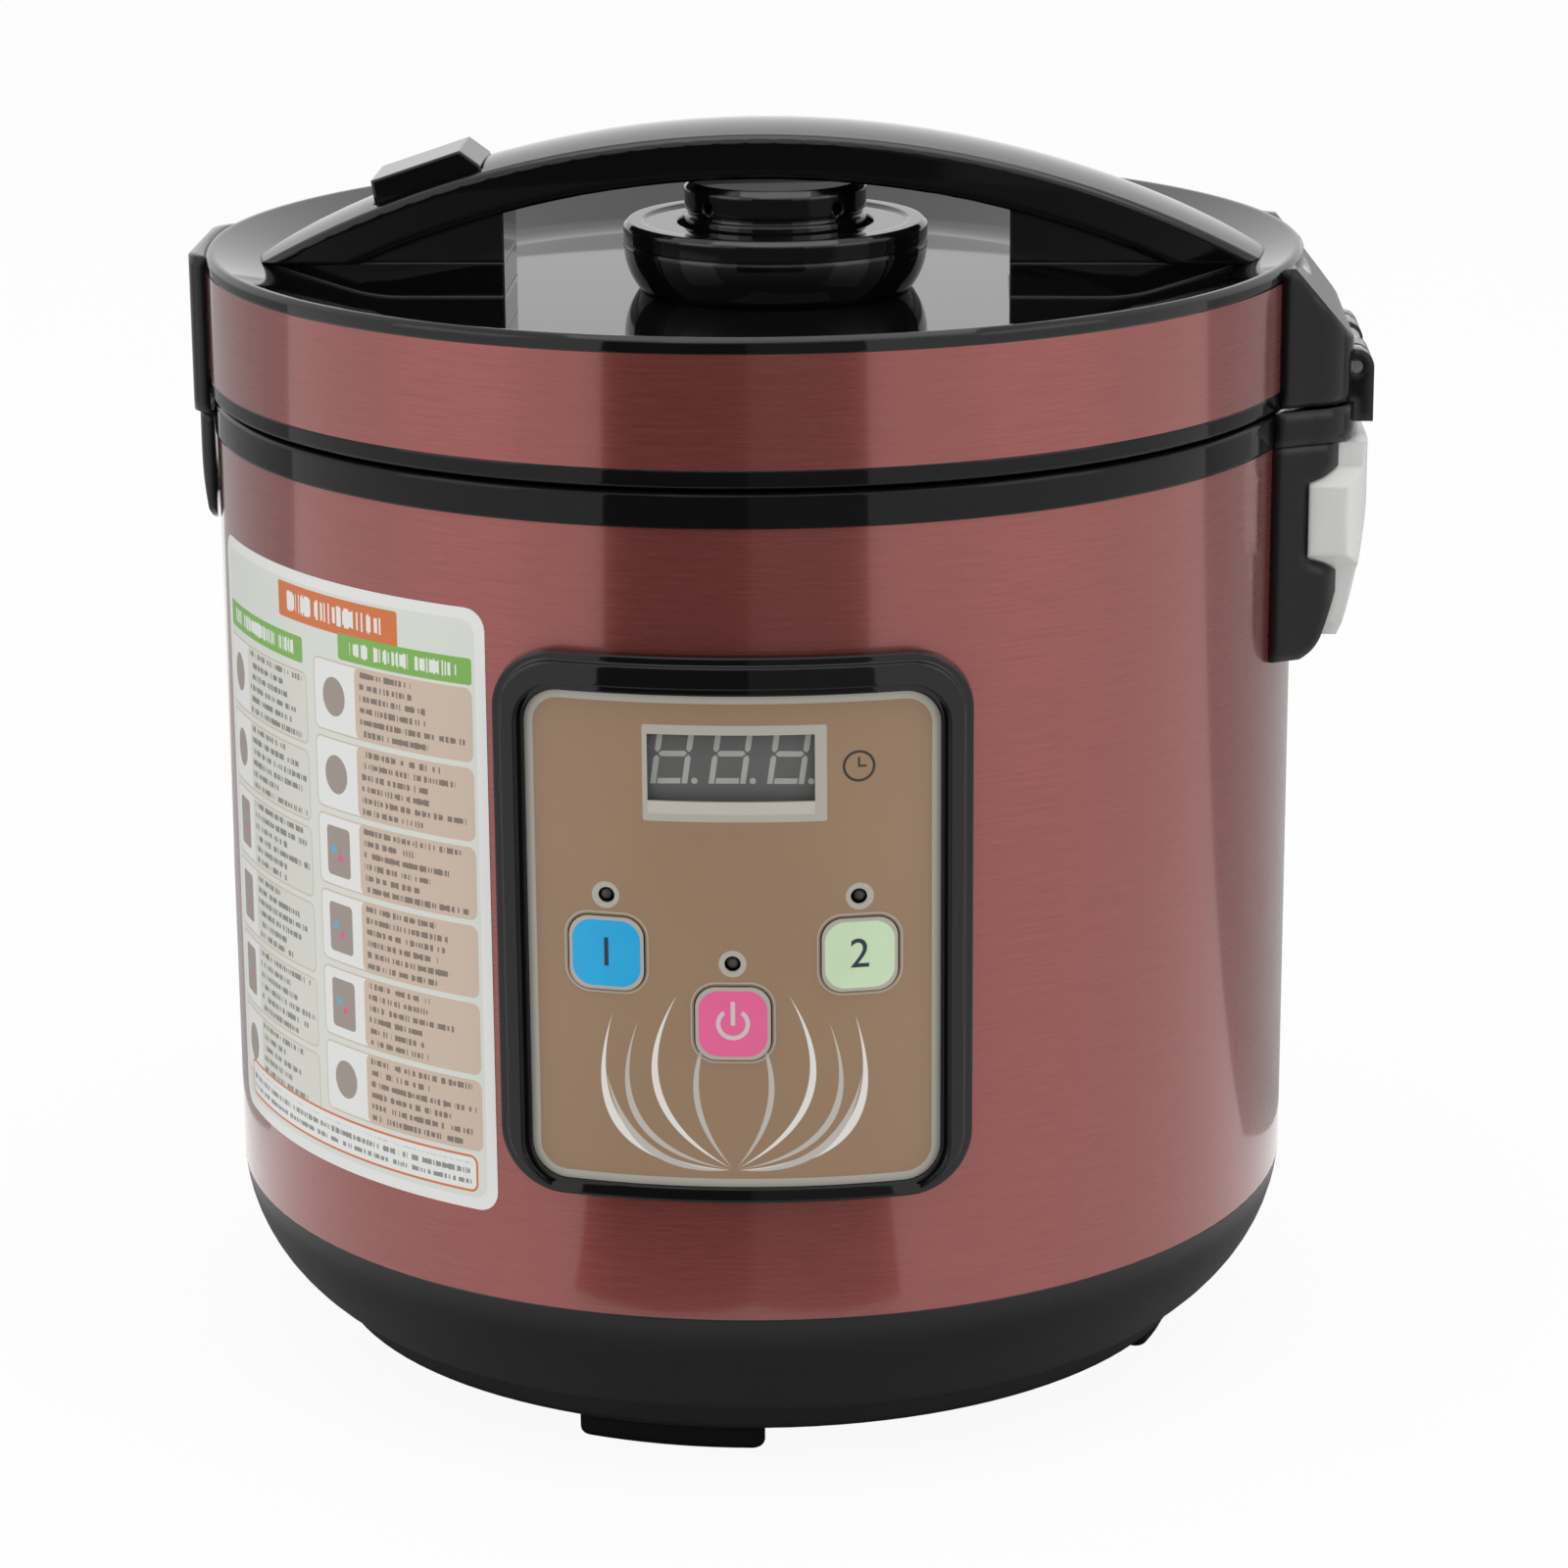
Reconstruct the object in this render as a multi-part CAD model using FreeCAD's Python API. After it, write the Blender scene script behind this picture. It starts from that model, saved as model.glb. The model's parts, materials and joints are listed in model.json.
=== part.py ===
"""Countertop electric fermenter: round sheet-metal body, hinged lid with an arched handle and steam vent.

Millimetres. The origin is on the surface it stands on, at the body's axis. +Z is up, the control panel
faces -Y, the lid's hinge is at +X and its latch at -X.
"""
import FreeCAD, Part
import math
import os
from FreeCAD import Vector

# Body
body_radius = 128.0
sheet = 0.8
foot_height = 9.0
base_inset = 24.0
base_wall = 2.5
base_drop = 5.5
bowl_height = 28.5
bowl_tuck = 16.0
body_band_height = 181.4
body_ring_height = 7.9
body_ring_proud = 0.5
body_ring_edge = 0.8
spigot_height = 6.0
wall = 2.5
bowl_fullness = 0.75
bowl_flange = 20.0
# Feet and base screws
foot_count = 4
foot_length = 42.0
foot_depth = 16.0
foot_edge_radius = 3.0
foot_sole_radius = 1.8
foot_turn = -10.0
foot_inset = 10.0
screw_radius = 1.5
screw_head_radius = 3.0
screw_head_height = 2.0
screw_head_sink = 0.2
screw_bite = 2.0
screw_inset = 8.0
boss_radius = 4.5
post_radius = 3.0
base_edge = 1.0
base_slot_count = 16
base_slot_width = 3.0
base_slot_inner = 52.0
base_slot_outer = 78.0
# Lid
lid_gap = 0.9
lid_overhang = 1.3
lid_ring_height = 4.1
lid_band_height = 25.0
lid_rim_height = 3.5
lid_rim_width = 2.0
lid_dish_depth = 11.6
lid_wall = 2.4
lid_edge = 1.0
lid_skirt = 4.8
lid_ring_edge = 0.6
dish_floor_radius = 90.0
dish_bend = 6.0
liner_seat = 1.6
liner_thickness = 1.0
liner_port_radius = 10.0
liner_port_x = 45.0
# Pot and heater
pot_inset = 23.0
pot_wall = 1.5
pot_lift = 36.0
pot_corner = 20.0
pot_rim = 6.0
pot_rim_thickness = 1.4
pot_seat_drop = 3.3
pot_side_gap = 1.4
pot_rim_gap = 1.5
pot_seat_slope = 1.5
pot_lip_height = 3.0
shield_gap = 3.5
shield_sheet = 0.7
shield_floor_drop = 24.0
heater_inset = 25.0
heater_height = 14.0
sensor_side_gap = 2.0
heater_bevel = 4.0
heater_edge = 1.0
heater_leg_count = 3
heater_leg_radius = 4.0
heater_leg_inset = 10.0
element_inset = 22.0
element_tube = 4.0
element_sweep = 300.0
element_tail = 4.0
element_tail_turn = 4.0
sensor_radius = 16.0
sensor_stem = 11.1
sensor_cap_height = 2.5
sensor_travel = 3.0
sensor_spring_height = 9.2
sensor_guide_wall = 3.0
sensor_edge = 1.0
sensor_wall = 1.5
sensor_end_gap = 1.0
# Inner lid
inner_lid_sheet = 0.8
inner_lid_lift = 0.4
inner_lid_drop = 5.0
inner_lid_edge_inset = 1.0
inner_lid_rim_inset = 6.0
inner_lid_flat_inset = 11.0
inner_lid_wall_shift = 0.4
steam_hole_count = 6
steam_hole_ring = 40.0
steam_hole_radius = 3.0
knob_neck_radius = 4.0
knob_radius = 9.0
knob_height = 4.0
knob_edge = 1.0
gasket_lap = 1.5
gasket_inset = 0.5
lid_mouth_gap = 1.0
lid_mouth_bevel = 2.0
lid_mouth_rise = 1.3
# Handle
handle_rise = 30.1
handle_bulge = 1.1
handle_thickness = 10.6
handle_width = 34.0
handle_corner = 2.2
handle_centre_x = 2.5
handle_tip_inset = 11.5
handle_base_lift = 8.2
handle_web_inset = 1.6
handle_gap_left = 60.5
handle_gap_right = 57.8
handle_overrun = 12.0
handle_pad_inset = 11.0
handle_screw_left = 9.0
handle_screw_right = 13.0
handle_screw_side = 9.0
handle_screw_bite = 7.0
# Release button and latch
button_slope = 18.6
button_length = 26.4
button_width = 24.0
button_proud = 5.6
button_root = 4.0
button_end_slant = 3.4
button_travel = 3.0
button_foot = 0.8
button_edge = 0.6
stem_radius = 2.5
stem_offset = 8.6
stem_top_drop = 5.4
stem_gap = 0.5
lever_pivot_inset = 9.0
lever_pivot_drop = 17.8
lever_arm = 3.0
lever_hub = 4.0
lever_arm_half = 4.0
lug_margin = 1.0
lug_thickness = 3.0
hook_width = 16.0
hook_thickness = 3.4
hook_inset = 1.0
hook_nose = 3.0
hook_nose_slope = 2.4
hook_nose_height = 3.2
hook_drop_gap = 1.1
hook_side_room = 1.0
hook_swing_out = 4.6
hook_swing_in = 1.5
catch_gap = 0.4
catch_width = 5.0
catch_sheet = 1.2
catch_depth = 6.0
tab_half_width = 26.0
tab_proud = 2.7
tab_drop = 3.9
tab_top_drop = 0.6
tab_depth = 40.0
tab_corner = 9.0
tab_edge = 0.5
catch_cover_height = 27.0
catch_cover_step = 1.2
catch_cover_inset = 1.0
catch_cover_chest = 6.0
catch_cover_waist = 9.0
catch_cover_hip = 12.0
catch_cover_heel = 3.0
catch_cover_heel_inset = 5.0
catch_cover_flat = 9.1
# Steam vent
vent_x = 5.0
vent_collar_radius = 36.0
vent_neck_inset = 4.0
vent_bevel_width = 1.2
vent_bore_gap = 1.75
vent_cap_radius = 21.5
vent_collar_height = 16.3
vent_bevel = 1.0
vent_seam = 0.4
vent_border = 4.5
vent_border_drop = 0.6
vent_cap_top_gap = 2.1
vent_passage = 14.0
vent_wide_at = 0.66
vent_flare_at = 0.34
vent_flare = 0.78
vent_floor = 6.3
vent_seal_ledge = 1.0
vent_seal_height = 4.0
vent_seal_foot = 2.0
vent_cap_wall = 2.0
vent_cap_neck = 1.5
vent_cap_neck_height = 2.4
vent_cap_edge = 1.5
vent_groove_lift = 1.0
vent_groove_depth = 0.8
vent_groove_height = 2.0
vent_port_count = 4
vent_port_radius = 1.6
vent_port_drop = 5.0
# Hinge
hinge_half_width = 43.0
hinge_proud = 12.0
hinge_bite = 20.0
hinge_corner_run = 10.5
hinge_corner_side = 17.0
hinge_flank = 4.0
hinge_corner_bulge_x = 0.72
hinge_corner_bulge_y = 0.62
hinge_slope_drop = 18.0
hinge_slope_inset = 4.0
hinge_slope_step = 0.4
hinge_slope_foot = 4.0
hinge_top_drop = 0.5
hinge_band_proud = 0.4
pin_radius = 1.5
pin_proud = 0.7
pin_lift = 6.8
barrel_radius = 4.0
barrel_web = 2.0
pin_end_inset = 0.5
ear_inner = 20.0
ear_width = 7.0
ear_room = 1.0
ear_pad_depth = 4.0
ear_pad_height = 5.0
column_floor = 3.8
column_foot_inset = 9.0
column_toe = 3.0
column_toe_bulge = 2.0
column_toe_out = 2.2
column_toe_rise = 5.5
column_swell = 2.4
column_swell_at = 0.4
column_bend_at = 0.72
# Water collector
cup_half_width = 39.5
cup_neck_half_width = 34.5
cup_wall = 1.3
cup_proud = 3.4
cup_depth = 10.5
cup_top_drop = 0.6
cup_height = 46.6
cup_wide_low = 21.0
cup_wide_high = 41.0
cup_step = 4.0
cup_mouth_inset = 9.0
cup_lip = 1.2
cup_rib_count = 9
cup_rib_pitch = 5.0
cup_rib_width = 1.0
cup_rib_depth = 0.8
# Control panel
panel_half_width = 52.5
panel_lift = 29.2
panel_height = 124.4
panel_corner = 14.0
panel_proud = 5.0
panel_bevel = 1.8
panel_floor = 2.8
panel_floor_proud = 1.3
panel_side = 7.0
panel_head = 8.4
panel_foot = 3.2
overlay_corner = 8.0
overlay_thickness = 0.6
panel_lap = 5.0
window_width = 36.4
window_height = 15.0
window_drop = 24.9
window_room = 2.0
window_flange = 1.8
window_flange_thickness = 1.0
digit_block_depth = 8.0
digit_block_side = 0.6
digit_block_edge = 1.9
pin_row_inset = 2.0
pin_row_end = 4.0
pin_row_thickness = 1.6
key_size = 16.6
key_corner = 4.6
key_proud = 0.7
key_travel = 0.6
key_root_gap = 0.6
key_x = 27.8
key_lift = 56.8
power_key_lift = 41.6
lamp_x = 27.6
lamp_lift = 13.2
power_lamp_lift = 13.6
lamp_hole = 1.8
lamp_sink = 0.4
board_gap = 3.0
board_thickness = 1.6
board_side_inset = 10.5
board_end_inset = 8.2
board_post_side = 6.0
board_post_end = 5.0
switch_size = 6.0
switch_height = 3.5
switch_floor = 0.8
key_stem_radius = 1.7
# Power board
power_board_lift = 8.5
power_board_length = 72.0
power_board_width = 52.0
power_post_inset = 6.0
core_x = -16.0
core_length = 28.0
core_width = 24.0
core_height = 24.0
bobbin_length = 18.0
bobbin_width = 32.0
bobbin_height = 16.0
relay_x = 17.5
relay_length = 19.0
relay_width = 16.0
relay_height = 16.0
relay_edge = 1.0
# Power inlet
inlet_lift = 22.0
inlet_width = 30.0
inlet_height = 22.0
inlet_flange = 5.0
inlet_wall = 2.6
inlet_depth = 17.0
inlet_pin = 10.0
inlet_proud = 2.0
inlet_corner = 2.7
inlet_flange_corner = 5.0
inlet_socket_corner = 2.0
inlet_low_pins = -2.0
inlet_high_pin = 3.0
inlet_blade_width = 2.0
inlet_blade_height = 4.0
# Springs
wire_radius = 0.6
coil_radius = 2.7
coil_pitch = 1.8
sensor_coil_gap = 2.1
sensor_coil_turns = 3.5
hinge_coil_turns = 7.5
latch_coil_turns = 3.0
latch_spring_leg = 5.0
coil_end_room = 3.0
coil_side_room = 1.2
# Clearances
seat_gap = 0.1
run_gap = 0.4
pin_gap = 0.05
moving_gap = 0.3
# Overlap that joins the pieces of one solid, how far a cutter runs past a face, and beyond everything
weld = 0.5
over = 1.0
far = 4 * body_radius

# Heights of the stacked bands
base_z = foot_height
lip_z = base_z + base_drop
band_z = lip_z + bowl_height
ring_z = band_z + body_band_height
rim_z = ring_z + body_ring_height
lid_z = rim_z + lid_gap
lid_band_z = lid_z + lid_ring_height
lid_rim_z = lid_band_z + lid_band_height
top_z = lid_rim_z + lid_rim_height
plate_z = top_z - lid_dish_depth
# Radii and levels that several pieces share
bowl_lip_radius = body_radius - bowl_tuck
base_plate_radius = body_radius - base_inset
foot_centre_radius = base_plate_radius - foot_inset
lid_radius = body_radius + lid_overhang
sheet_inside = body_radius - sheet
spigot_radius = sheet_inside - seat_gap
spigot_inside = spigot_radius - wall
lid_inside = lid_radius - sheet
lid_spigot = lid_inside - seat_gap
dish_radius = lid_radius - lid_rim_width
pot_seat_z = rim_z - pot_seat_drop
pot_bottom_z = band_z + pot_lift
pot_radius = body_radius - pot_inset
pot_mouth = pot_radius + pot_side_gap
flange_z = pot_seat_z - wall
shield_radius = pot_radius + shield_gap
shield_floor_z = pot_bottom_z - shield_floor_drop
heater_z = pot_bottom_z - heater_height
heater_radius = pot_radius - heater_inset
heater_hole = sensor_radius + sensor_side_gap
element_radius = heater_radius - element_inset
sensor_coil_radius = sensor_stem + sensor_coil_gap
sensor_under_z = pot_bottom_z - moving_gap - sensor_cap_height
sensor_guide_z = sensor_under_z - sensor_spring_height
handle_base_z = plate_z + handle_base_lift
handle_half_span = lid_radius - handle_tip_inset
handle_crown = handle_base_z + handle_rise
handle_radius = (handle_half_span ** 2 + handle_rise ** 2) / (2 * handle_rise)
handle_axis_z = handle_crown - handle_radius
slope_sin = math.sin(math.radians(button_slope))
slope_cos = math.cos(math.radians(button_slope))
button_x = handle_centre_x - slope_sin * handle_radius
button_z = handle_axis_z + slope_cos * handle_radius
stem_x = button_x - stem_offset
pivot_x = lever_pivot_inset - body_radius
pivot_z = top_z - lever_pivot_drop
lever_top_z = pivot_z + lever_arm / 2
hook_tip_z = flange_z - catch_sheet - hook_drop_gap - hook_nose_height
hook_x = pivot_x - hook_thickness / 2 + hook_inset
hinge_x = body_radius + hinge_proud
hinge_root = body_radius - hinge_bite
pin_x = hinge_x + pin_proud
pin_z = lid_z + pin_lift
column_height = cup_top_drop + cup_height + column_floor
column_z = ring_z - column_height
panel_bottom = band_z + panel_lift
panel_middle = panel_bottom + panel_height / 2
window_z = panel_bottom + panel_height - window_drop
key_z = panel_bottom + key_lift
power_key_z = panel_bottom + power_key_lift
lamp_z = key_z + lamp_lift
power_lamp_z = power_key_z + power_lamp_lift
board_width = 2 * (panel_half_width - board_side_inset)
board_height = panel_height - 2 * board_end_inset
inlet_z = band_z + inlet_lift
vent_neck_radius = vent_collar_radius - vent_neck_inset
vent_top_radius = vent_collar_radius - vent_bevel_width
vent_bore_radius = vent_cap_radius + vent_bore_gap
floor_radius = body_radius + panel_floor_proud
overlay_radius = floor_radius + overlay_thickness
board_y = -(shield_radius + board_gap + board_thickness)
cup_top_z = ring_z - cup_top_drop
cup_bottom_z = cup_top_z - cup_height
cup_back_x = hinge_x - cup_depth


def closed_face(steps, place):
    """Face inside an outline. A step is a point, or a middle and an end point for an arc."""
    start = place(*steps[0])
    here = start
    edges = []
    for step in steps[1:]:
        if isinstance(step[0], tuple):
            end = place(*step[1])
            edges.append(Part.Arc(here, place(*step[0]), end).toShape())
        else:
            end = place(*step)
            edges.append(Part.makeLine(here, end))
        here = end
    if here.distanceToPoint(start) > 1e-7:
        edges.append(Part.makeLine(here, start))
    return Part.Face(Part.Wire(edges))


def turned(steps, x=0.0, y=0.0):
    """Solid of revolution about a vertical axis from an outline of (radius, z)."""
    face = closed_face(steps, lambda r, z: Vector(r, 0, z))
    solid = face.revolve(Vector(0, 0, 0), Vector(0, 0, 1), 360)
    solid.translate(Vector(x, y, 0))
    return solid


def slab_x(steps, x0, x1):
    """Prism along X from an outline of (y, z)."""
    return closed_face(steps, lambda y, z: Vector(x0, y, z)).extrude(Vector(x1 - x0, 0, 0))


def slab_y(steps, y0, y1):
    """Prism along Y from an outline of (x, z)."""
    return closed_face(steps, lambda x, z: Vector(x, y0, z)).extrude(Vector(0, y1 - y0, 0))


def slab_z(steps, z0, z1):
    """Prism along Z from an outline of (x, y)."""
    return closed_face(steps, lambda x, y: Vector(x, y, z0)).extrude(Vector(0, 0, z1 - z0))


def rounded_rect(a, b, width, height, radius):
    """Outline of a rectangle with round corners, centred on (a, b)."""
    a0, a1 = a - width / 2, a + width / 2
    b0, b1 = b - height / 2, b + height / 2
    k = radius * (1 - math.sqrt(0.5))
    return [
        (a0 + radius, b0),
        (a1 - radius, b0),
        ((a1 - k, b0 + k), (a1, b0 + radius)),
        (a1, b1 - radius),
        ((a1 - k, b1 - k), (a1 - radius, b1)),
        (a0 + radius, b1),
        ((a0 + k, b1 - k), (a0, b1 - radius)),
        (a0, b0 + radius),
        ((a0 + k, b0 + k), (a0 + radius, b0)),
    ]


def box(x0, x1, y0, y1, z0, z1):
    return Part.makeBox(x1 - x0, y1 - y0, z1 - z0, Vector(x0, y0, z0))


def rod(start, end, radius):
    run = end - start
    return Part.makeCylinder(radius, run.Length, start, run)


def disc(radius, z0, z1, x=0.0, y=0.0):
    return Part.makeCylinder(radius, z1 - z0, Vector(x, y, z0))


def tube(inner, outer, z0, z1):
    return disc(outer, z0, z1).cut(disc(inner, z0 - 1, z1 + 1))


def fuse_all(shapes):
    return shapes[0].multiFuse(shapes[1:]).removeSplitter()


def polar(radius, degrees, z=0.0):
    """Point at an angle counted from the front (-Y) towards the hinge side (+X)."""
    turn = math.radians(degrees)
    return Vector(radius * math.sin(turn), -radius * math.cos(turn), z)


def tangent_arcs(p0, t0, p1, t1):
    """Two arcs that join two points and leave both along their tangents."""
    span = p1 - p0
    across = span.dot(t0 + t1)
    bend = 2 * (1 - t0.dot(t1))
    reach = (math.sqrt(across ** 2 + bend * span.dot(span)) - across) / bend
    q0 = p0 + t0 * reach
    q1 = p1 - t1 * reach
    joint = (q0 + q1) * 0.5
    arcs = []
    for start, corner, end in ((p0, q0, joint), (joint, q1, p1)):
        chord = (end - start).Length / 2
        middle = (start + end) * 0.5
        top = middle + (corner - middle) * (chord / (reach + chord))
        arcs.append(Part.Arc(start, top, end).toShape())
    return arcs


def coil(name, radius, wire, pitch, turns, leg=0.0):
    """Wound spring about Z from z = 0, swept along tangent arcs, with straight legs at both ends."""
    rise = pitch / (2 * math.pi)
    quarters = round(turns * 4)
    scale = math.hypot(radius, rise)
    points = []
    tangents = []
    for k in range(quarters + 1):
        a = k * math.pi / 2
        points.append(Vector(radius * math.cos(a), radius * math.sin(a), rise * a))
        tangents.append(Vector(-radius * math.sin(a) / scale, radius * math.cos(a) / scale, rise / scale))
    edges = []
    if leg:
        edges.append(Part.makeLine(points[0] - tangents[0] * leg, points[0]))
    for k in range(quarters):
        edges += tangent_arcs(points[k], tangents[k], points[k + 1], tangents[k + 1])
    if leg:
        edges.append(Part.makeLine(points[-1], points[-1] + tangents[-1] * leg))
    path = Part.Wire(edges)
    section = Part.Wire(Part.Circle(points[0] - tangents[0] * leg, tangents[0], wire).toShape())
    spring = path.makePipeShell([section], True, False)
    least = min((points[k + 4] - points[k]).Length for k in range(quarters - 3))
    print(name, "least gap between turns", round(least - 2 * wire, 2), "mm")
    return spring


def base_bowl():
    """Moulded bowl that carries the body band on a spigot."""
    swell = body_radius - bowl_lip_radius
    half_z = lip_z + bowl_height / 2
    bulge = bowl_lip_radius + bowl_fullness * swell
    flange = bowl_lip_radius - bowl_flange
    bowl = turned([
        (flange, lip_z),
        (bowl_lip_radius, lip_z),
        ((bulge, half_z), (body_radius, band_z)),
        (spigot_radius, band_z),
        (spigot_radius, band_z + spigot_height),
        (spigot_inside, band_z + spigot_height),
        (spigot_inside, band_z),
        ((bulge - wall, half_z + wall / 2), (bowl_lip_radius - wall, lip_z + wall)),
        (flange, lip_z + wall),
    ])
    for place in screw_places():
        bowl = bowl.cut(disc(screw_radius + seat_gap, lip_z - over, lip_z + wall + over, place.x, place.y))
    return bowl


def foot_angles():
    return [foot_turn + k * 360.0 / foot_count for k in range(foot_count)]


def screw_places():
    """Base screws stand half way between the feet."""
    half_step = 180.0 / foot_count
    return [polar(base_plate_radius - screw_inset, angle + half_step) for angle in foot_angles()]


def base_plate():
    """Underside pan with cooling slots, screw bosses and posts for the power board."""
    pan = turned([
        (0, base_z),
        (base_plate_radius - base_edge, base_z),
        (base_plate_radius, base_z + base_edge),
        (base_plate_radius, lip_z),
        (base_plate_radius - base_wall, lip_z),
        (base_plate_radius - base_wall, base_z + base_wall),
        (0, base_z + base_wall),
    ])
    floor = base_z + base_wall
    bosses = [disc(boss_radius, floor - weld, lip_z, place.x, place.y) for place in screw_places()]
    posts = [disc(post_radius, floor - weld, power_board_z(), x, y) for x, y in power_post_places()]
    pan = fuse_all([pan] + bosses + posts)
    side = base_slot_width / 2
    slot = box(-side, side, base_slot_inner, base_slot_outer, base_z - over, floor + over)
    for k in range(base_slot_count):
        turn = 360.0 * (k + 0.5) / base_slot_count
        pan = pan.cut(slot.rotated(Vector(0, 0, 0), Vector(0, 0, 1), turn))
    for place in screw_places():
        shank = disc(screw_radius + seat_gap, base_z - over, lip_z + over, place.x, place.y)
        head = disc(screw_head_radius + seat_gap, base_z - over, base_z + screw_head_height, place.x, place.y)
        pan = pan.cut(shank.fuse(head))
    return pan


def base_screws():
    screws = []
    for place in screw_places():
        head = disc(screw_head_radius, base_z + screw_head_sink, base_z + screw_head_height, place.x, place.y)
        shank = disc(screw_radius, base_z + screw_head_height, lip_z + wall + screw_bite, place.x, place.y)
        screws.append(head.fuse(shank).removeSplitter())
    return Part.makeCompound(screws)


def feet():
    """Four pads cut from a ring, with rounded edges below."""
    half_turn = math.degrees(foot_length / 2 / foot_centre_radius)
    inner = foot_centre_radius - foot_depth / 2
    outer = foot_centre_radius + foot_depth / 2
    pads = []
    for angle in foot_angles():
        steps = []
        for radius, turns in ((inner, (-1, 0, 1)), (outer, (1, 0, -1))):
            a, b, c = [polar(radius, angle + k * half_turn) for k in turns]
            steps.append((a.x, a.y))
            steps.append(((b.x, b.y), (c.x, c.y)))
        pad = slab_z(steps, 0, foot_height)
        uprights = [e for e in pad.Edges if abs(e.Vertexes[0].Z - e.Vertexes[1].Z) > foot_height / 2]
        pad = pad.makeFillet(foot_edge_radius, uprights)
        below = [e for e in pad.Edges if e.BoundBox.ZMax < foot_sole_radius]
        pads.append(pad.makeFillet(foot_sole_radius, below))
    return Part.makeCompound(pads)


def panel_prism(margin):
    """Prism of the panel's outline, drawn in by a margin."""
    outline = rounded_rect(0, panel_middle, 2 * (panel_half_width - margin), panel_height - 2 * margin,
                           panel_corner - margin)
    return slab_y(outline, -far, -body_radius / 2)


def panel_well(margin, corner):
    """Prism of the recess that the overlay lies in."""
    width = 2 * (panel_half_width - panel_side + margin)
    low = panel_bottom + panel_foot - margin
    high = panel_bottom + panel_height - panel_head + margin
    outline = rounded_rect(0, (low + high) / 2, width, high - low, corner)
    return slab_y(outline, -far, -body_radius / 2)


def key_places():
    return {"key_left": (-key_x, key_z), "key_right": (key_x, key_z), "key_power": (0.0, power_key_z)}


def lamp_places():
    return [(-lamp_x, lamp_z), (lamp_x, lamp_z), (0.0, power_lamp_z)]


def panel_holes(key_margin, lamp_radius, window_margin):
    """Prisms through the panel for the keys, the lamps and the display window."""
    holes = []
    for x, z in key_places().values():
        size = key_size + 2 * key_margin
        outline = rounded_rect(x, z, size, size, key_corner + key_margin)
        holes.append(slab_y(outline, -far, -body_radius / 2))
    for x, z in lamp_places():
        holes.append(rod(Vector(x, -far, z), Vector(x, -body_radius / 2, z), lamp_radius))
    wide = window_width / 2 + window_margin
    tall = window_height / 2 + window_margin
    holes.append(box(-wide, wide, -far, -body_radius / 2, window_z - tall, window_z + tall))
    return holes


def board_post_places():
    x = board_width / 2 - board_post_side
    low = panel_middle - board_height / 2 + board_post_end
    high = panel_middle + board_height / 2 - board_post_end
    return [(-x, low), (x, low), (-x, high), (x, high)]


def outer_shell():
    """Rolled sheet band with openings for the panel and the power inlet."""
    shell = tube(sheet_inside, body_radius, band_z, ring_z)
    shell = shell.cut(panel_prism(panel_lap - moving_gap))
    wide = inlet_width + 2 * moving_gap
    tall = inlet_height + 2 * moving_gap
    inlet = rounded_rect(0, inlet_z, wide, tall, inlet_corner + moving_gap)
    return shell.cut(slab_y(inlet, body_radius / 2, far))


def hook_slot(z0, z1):
    """Slot through the rims that the latch hook passes and swings in."""
    half = hook_width / 2 + hook_side_room
    x0 = hook_x - hook_thickness / 2 - hook_swing_out
    x1 = hook_x + hook_thickness / 2 + hook_nose + hook_swing_in
    return box(x0, x1, -half, half, z0, z1)


def upper_ring():
    """Moulded top ring: outer band, spigot into the sheet, and the seat for the pot's rim."""
    outer = body_radius + body_ring_proud
    mouth = pot_radius + pot_rim + pot_rim_gap
    lip = shield_radius - shield_sheet - seat_gap
    ring = turned([
        (outer, ring_z),
        (outer, rim_z - body_ring_edge),
        (outer - body_ring_edge, rim_z),
        (mouth + pot_seat_slope, rim_z),
        (mouth, pot_seat_z),
        (pot_mouth, pot_seat_z),
        (pot_mouth, flange_z - pot_lip_height),
        (lip, flange_z - pot_lip_height),
        (lip, flange_z),
        (spigot_inside, flange_z),
        (spigot_inside, ring_z - spigot_height),
        (spigot_radius, ring_z - spigot_height),
        (spigot_radius, ring_z),
    ])
    return ring.cut(hook_slot(flange_z - over, rim_z + over))


def heat_shield():
    """Steel can round the pot, hung from the top ring, open for the sensor."""
    inside = shield_radius - shield_sheet
    can = tube(inside, shield_radius, shield_floor_z, flange_z)
    floor = disc(inside, shield_floor_z, shield_floor_z + shield_sheet)
    can = can.fuse(floor).removeSplitter()
    return can.cut(disc(sensor_stem + pin_gap, shield_floor_z - over, shield_floor_z + shield_sheet + over))


def inner_pot():
    """Deep-drawn pot with a rolled-out rim that sits in the top ring."""
    k = pot_corner * (1 - math.sqrt(0.5))
    inside = pot_radius - pot_wall
    inner_corner = pot_corner - pot_wall
    ki = inner_corner * (1 - math.sqrt(0.5))
    floor = pot_bottom_z + pot_wall
    rim_top = pot_seat_z + pot_rim_thickness
    return turned([
        (0, pot_bottom_z),
        (pot_radius - pot_corner, pot_bottom_z),
        ((pot_radius - k, pot_bottom_z + k), (pot_radius, pot_bottom_z + pot_corner)),
        (pot_radius, pot_seat_z),
        (pot_radius + pot_rim, pot_seat_z),
        (pot_radius + pot_rim, rim_top),
        (inside, rim_top),
        (inside, floor + inner_corner),
        ((inside - ki, floor + ki), (inside - inner_corner, floor)),
        (0, floor),
    ])


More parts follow.
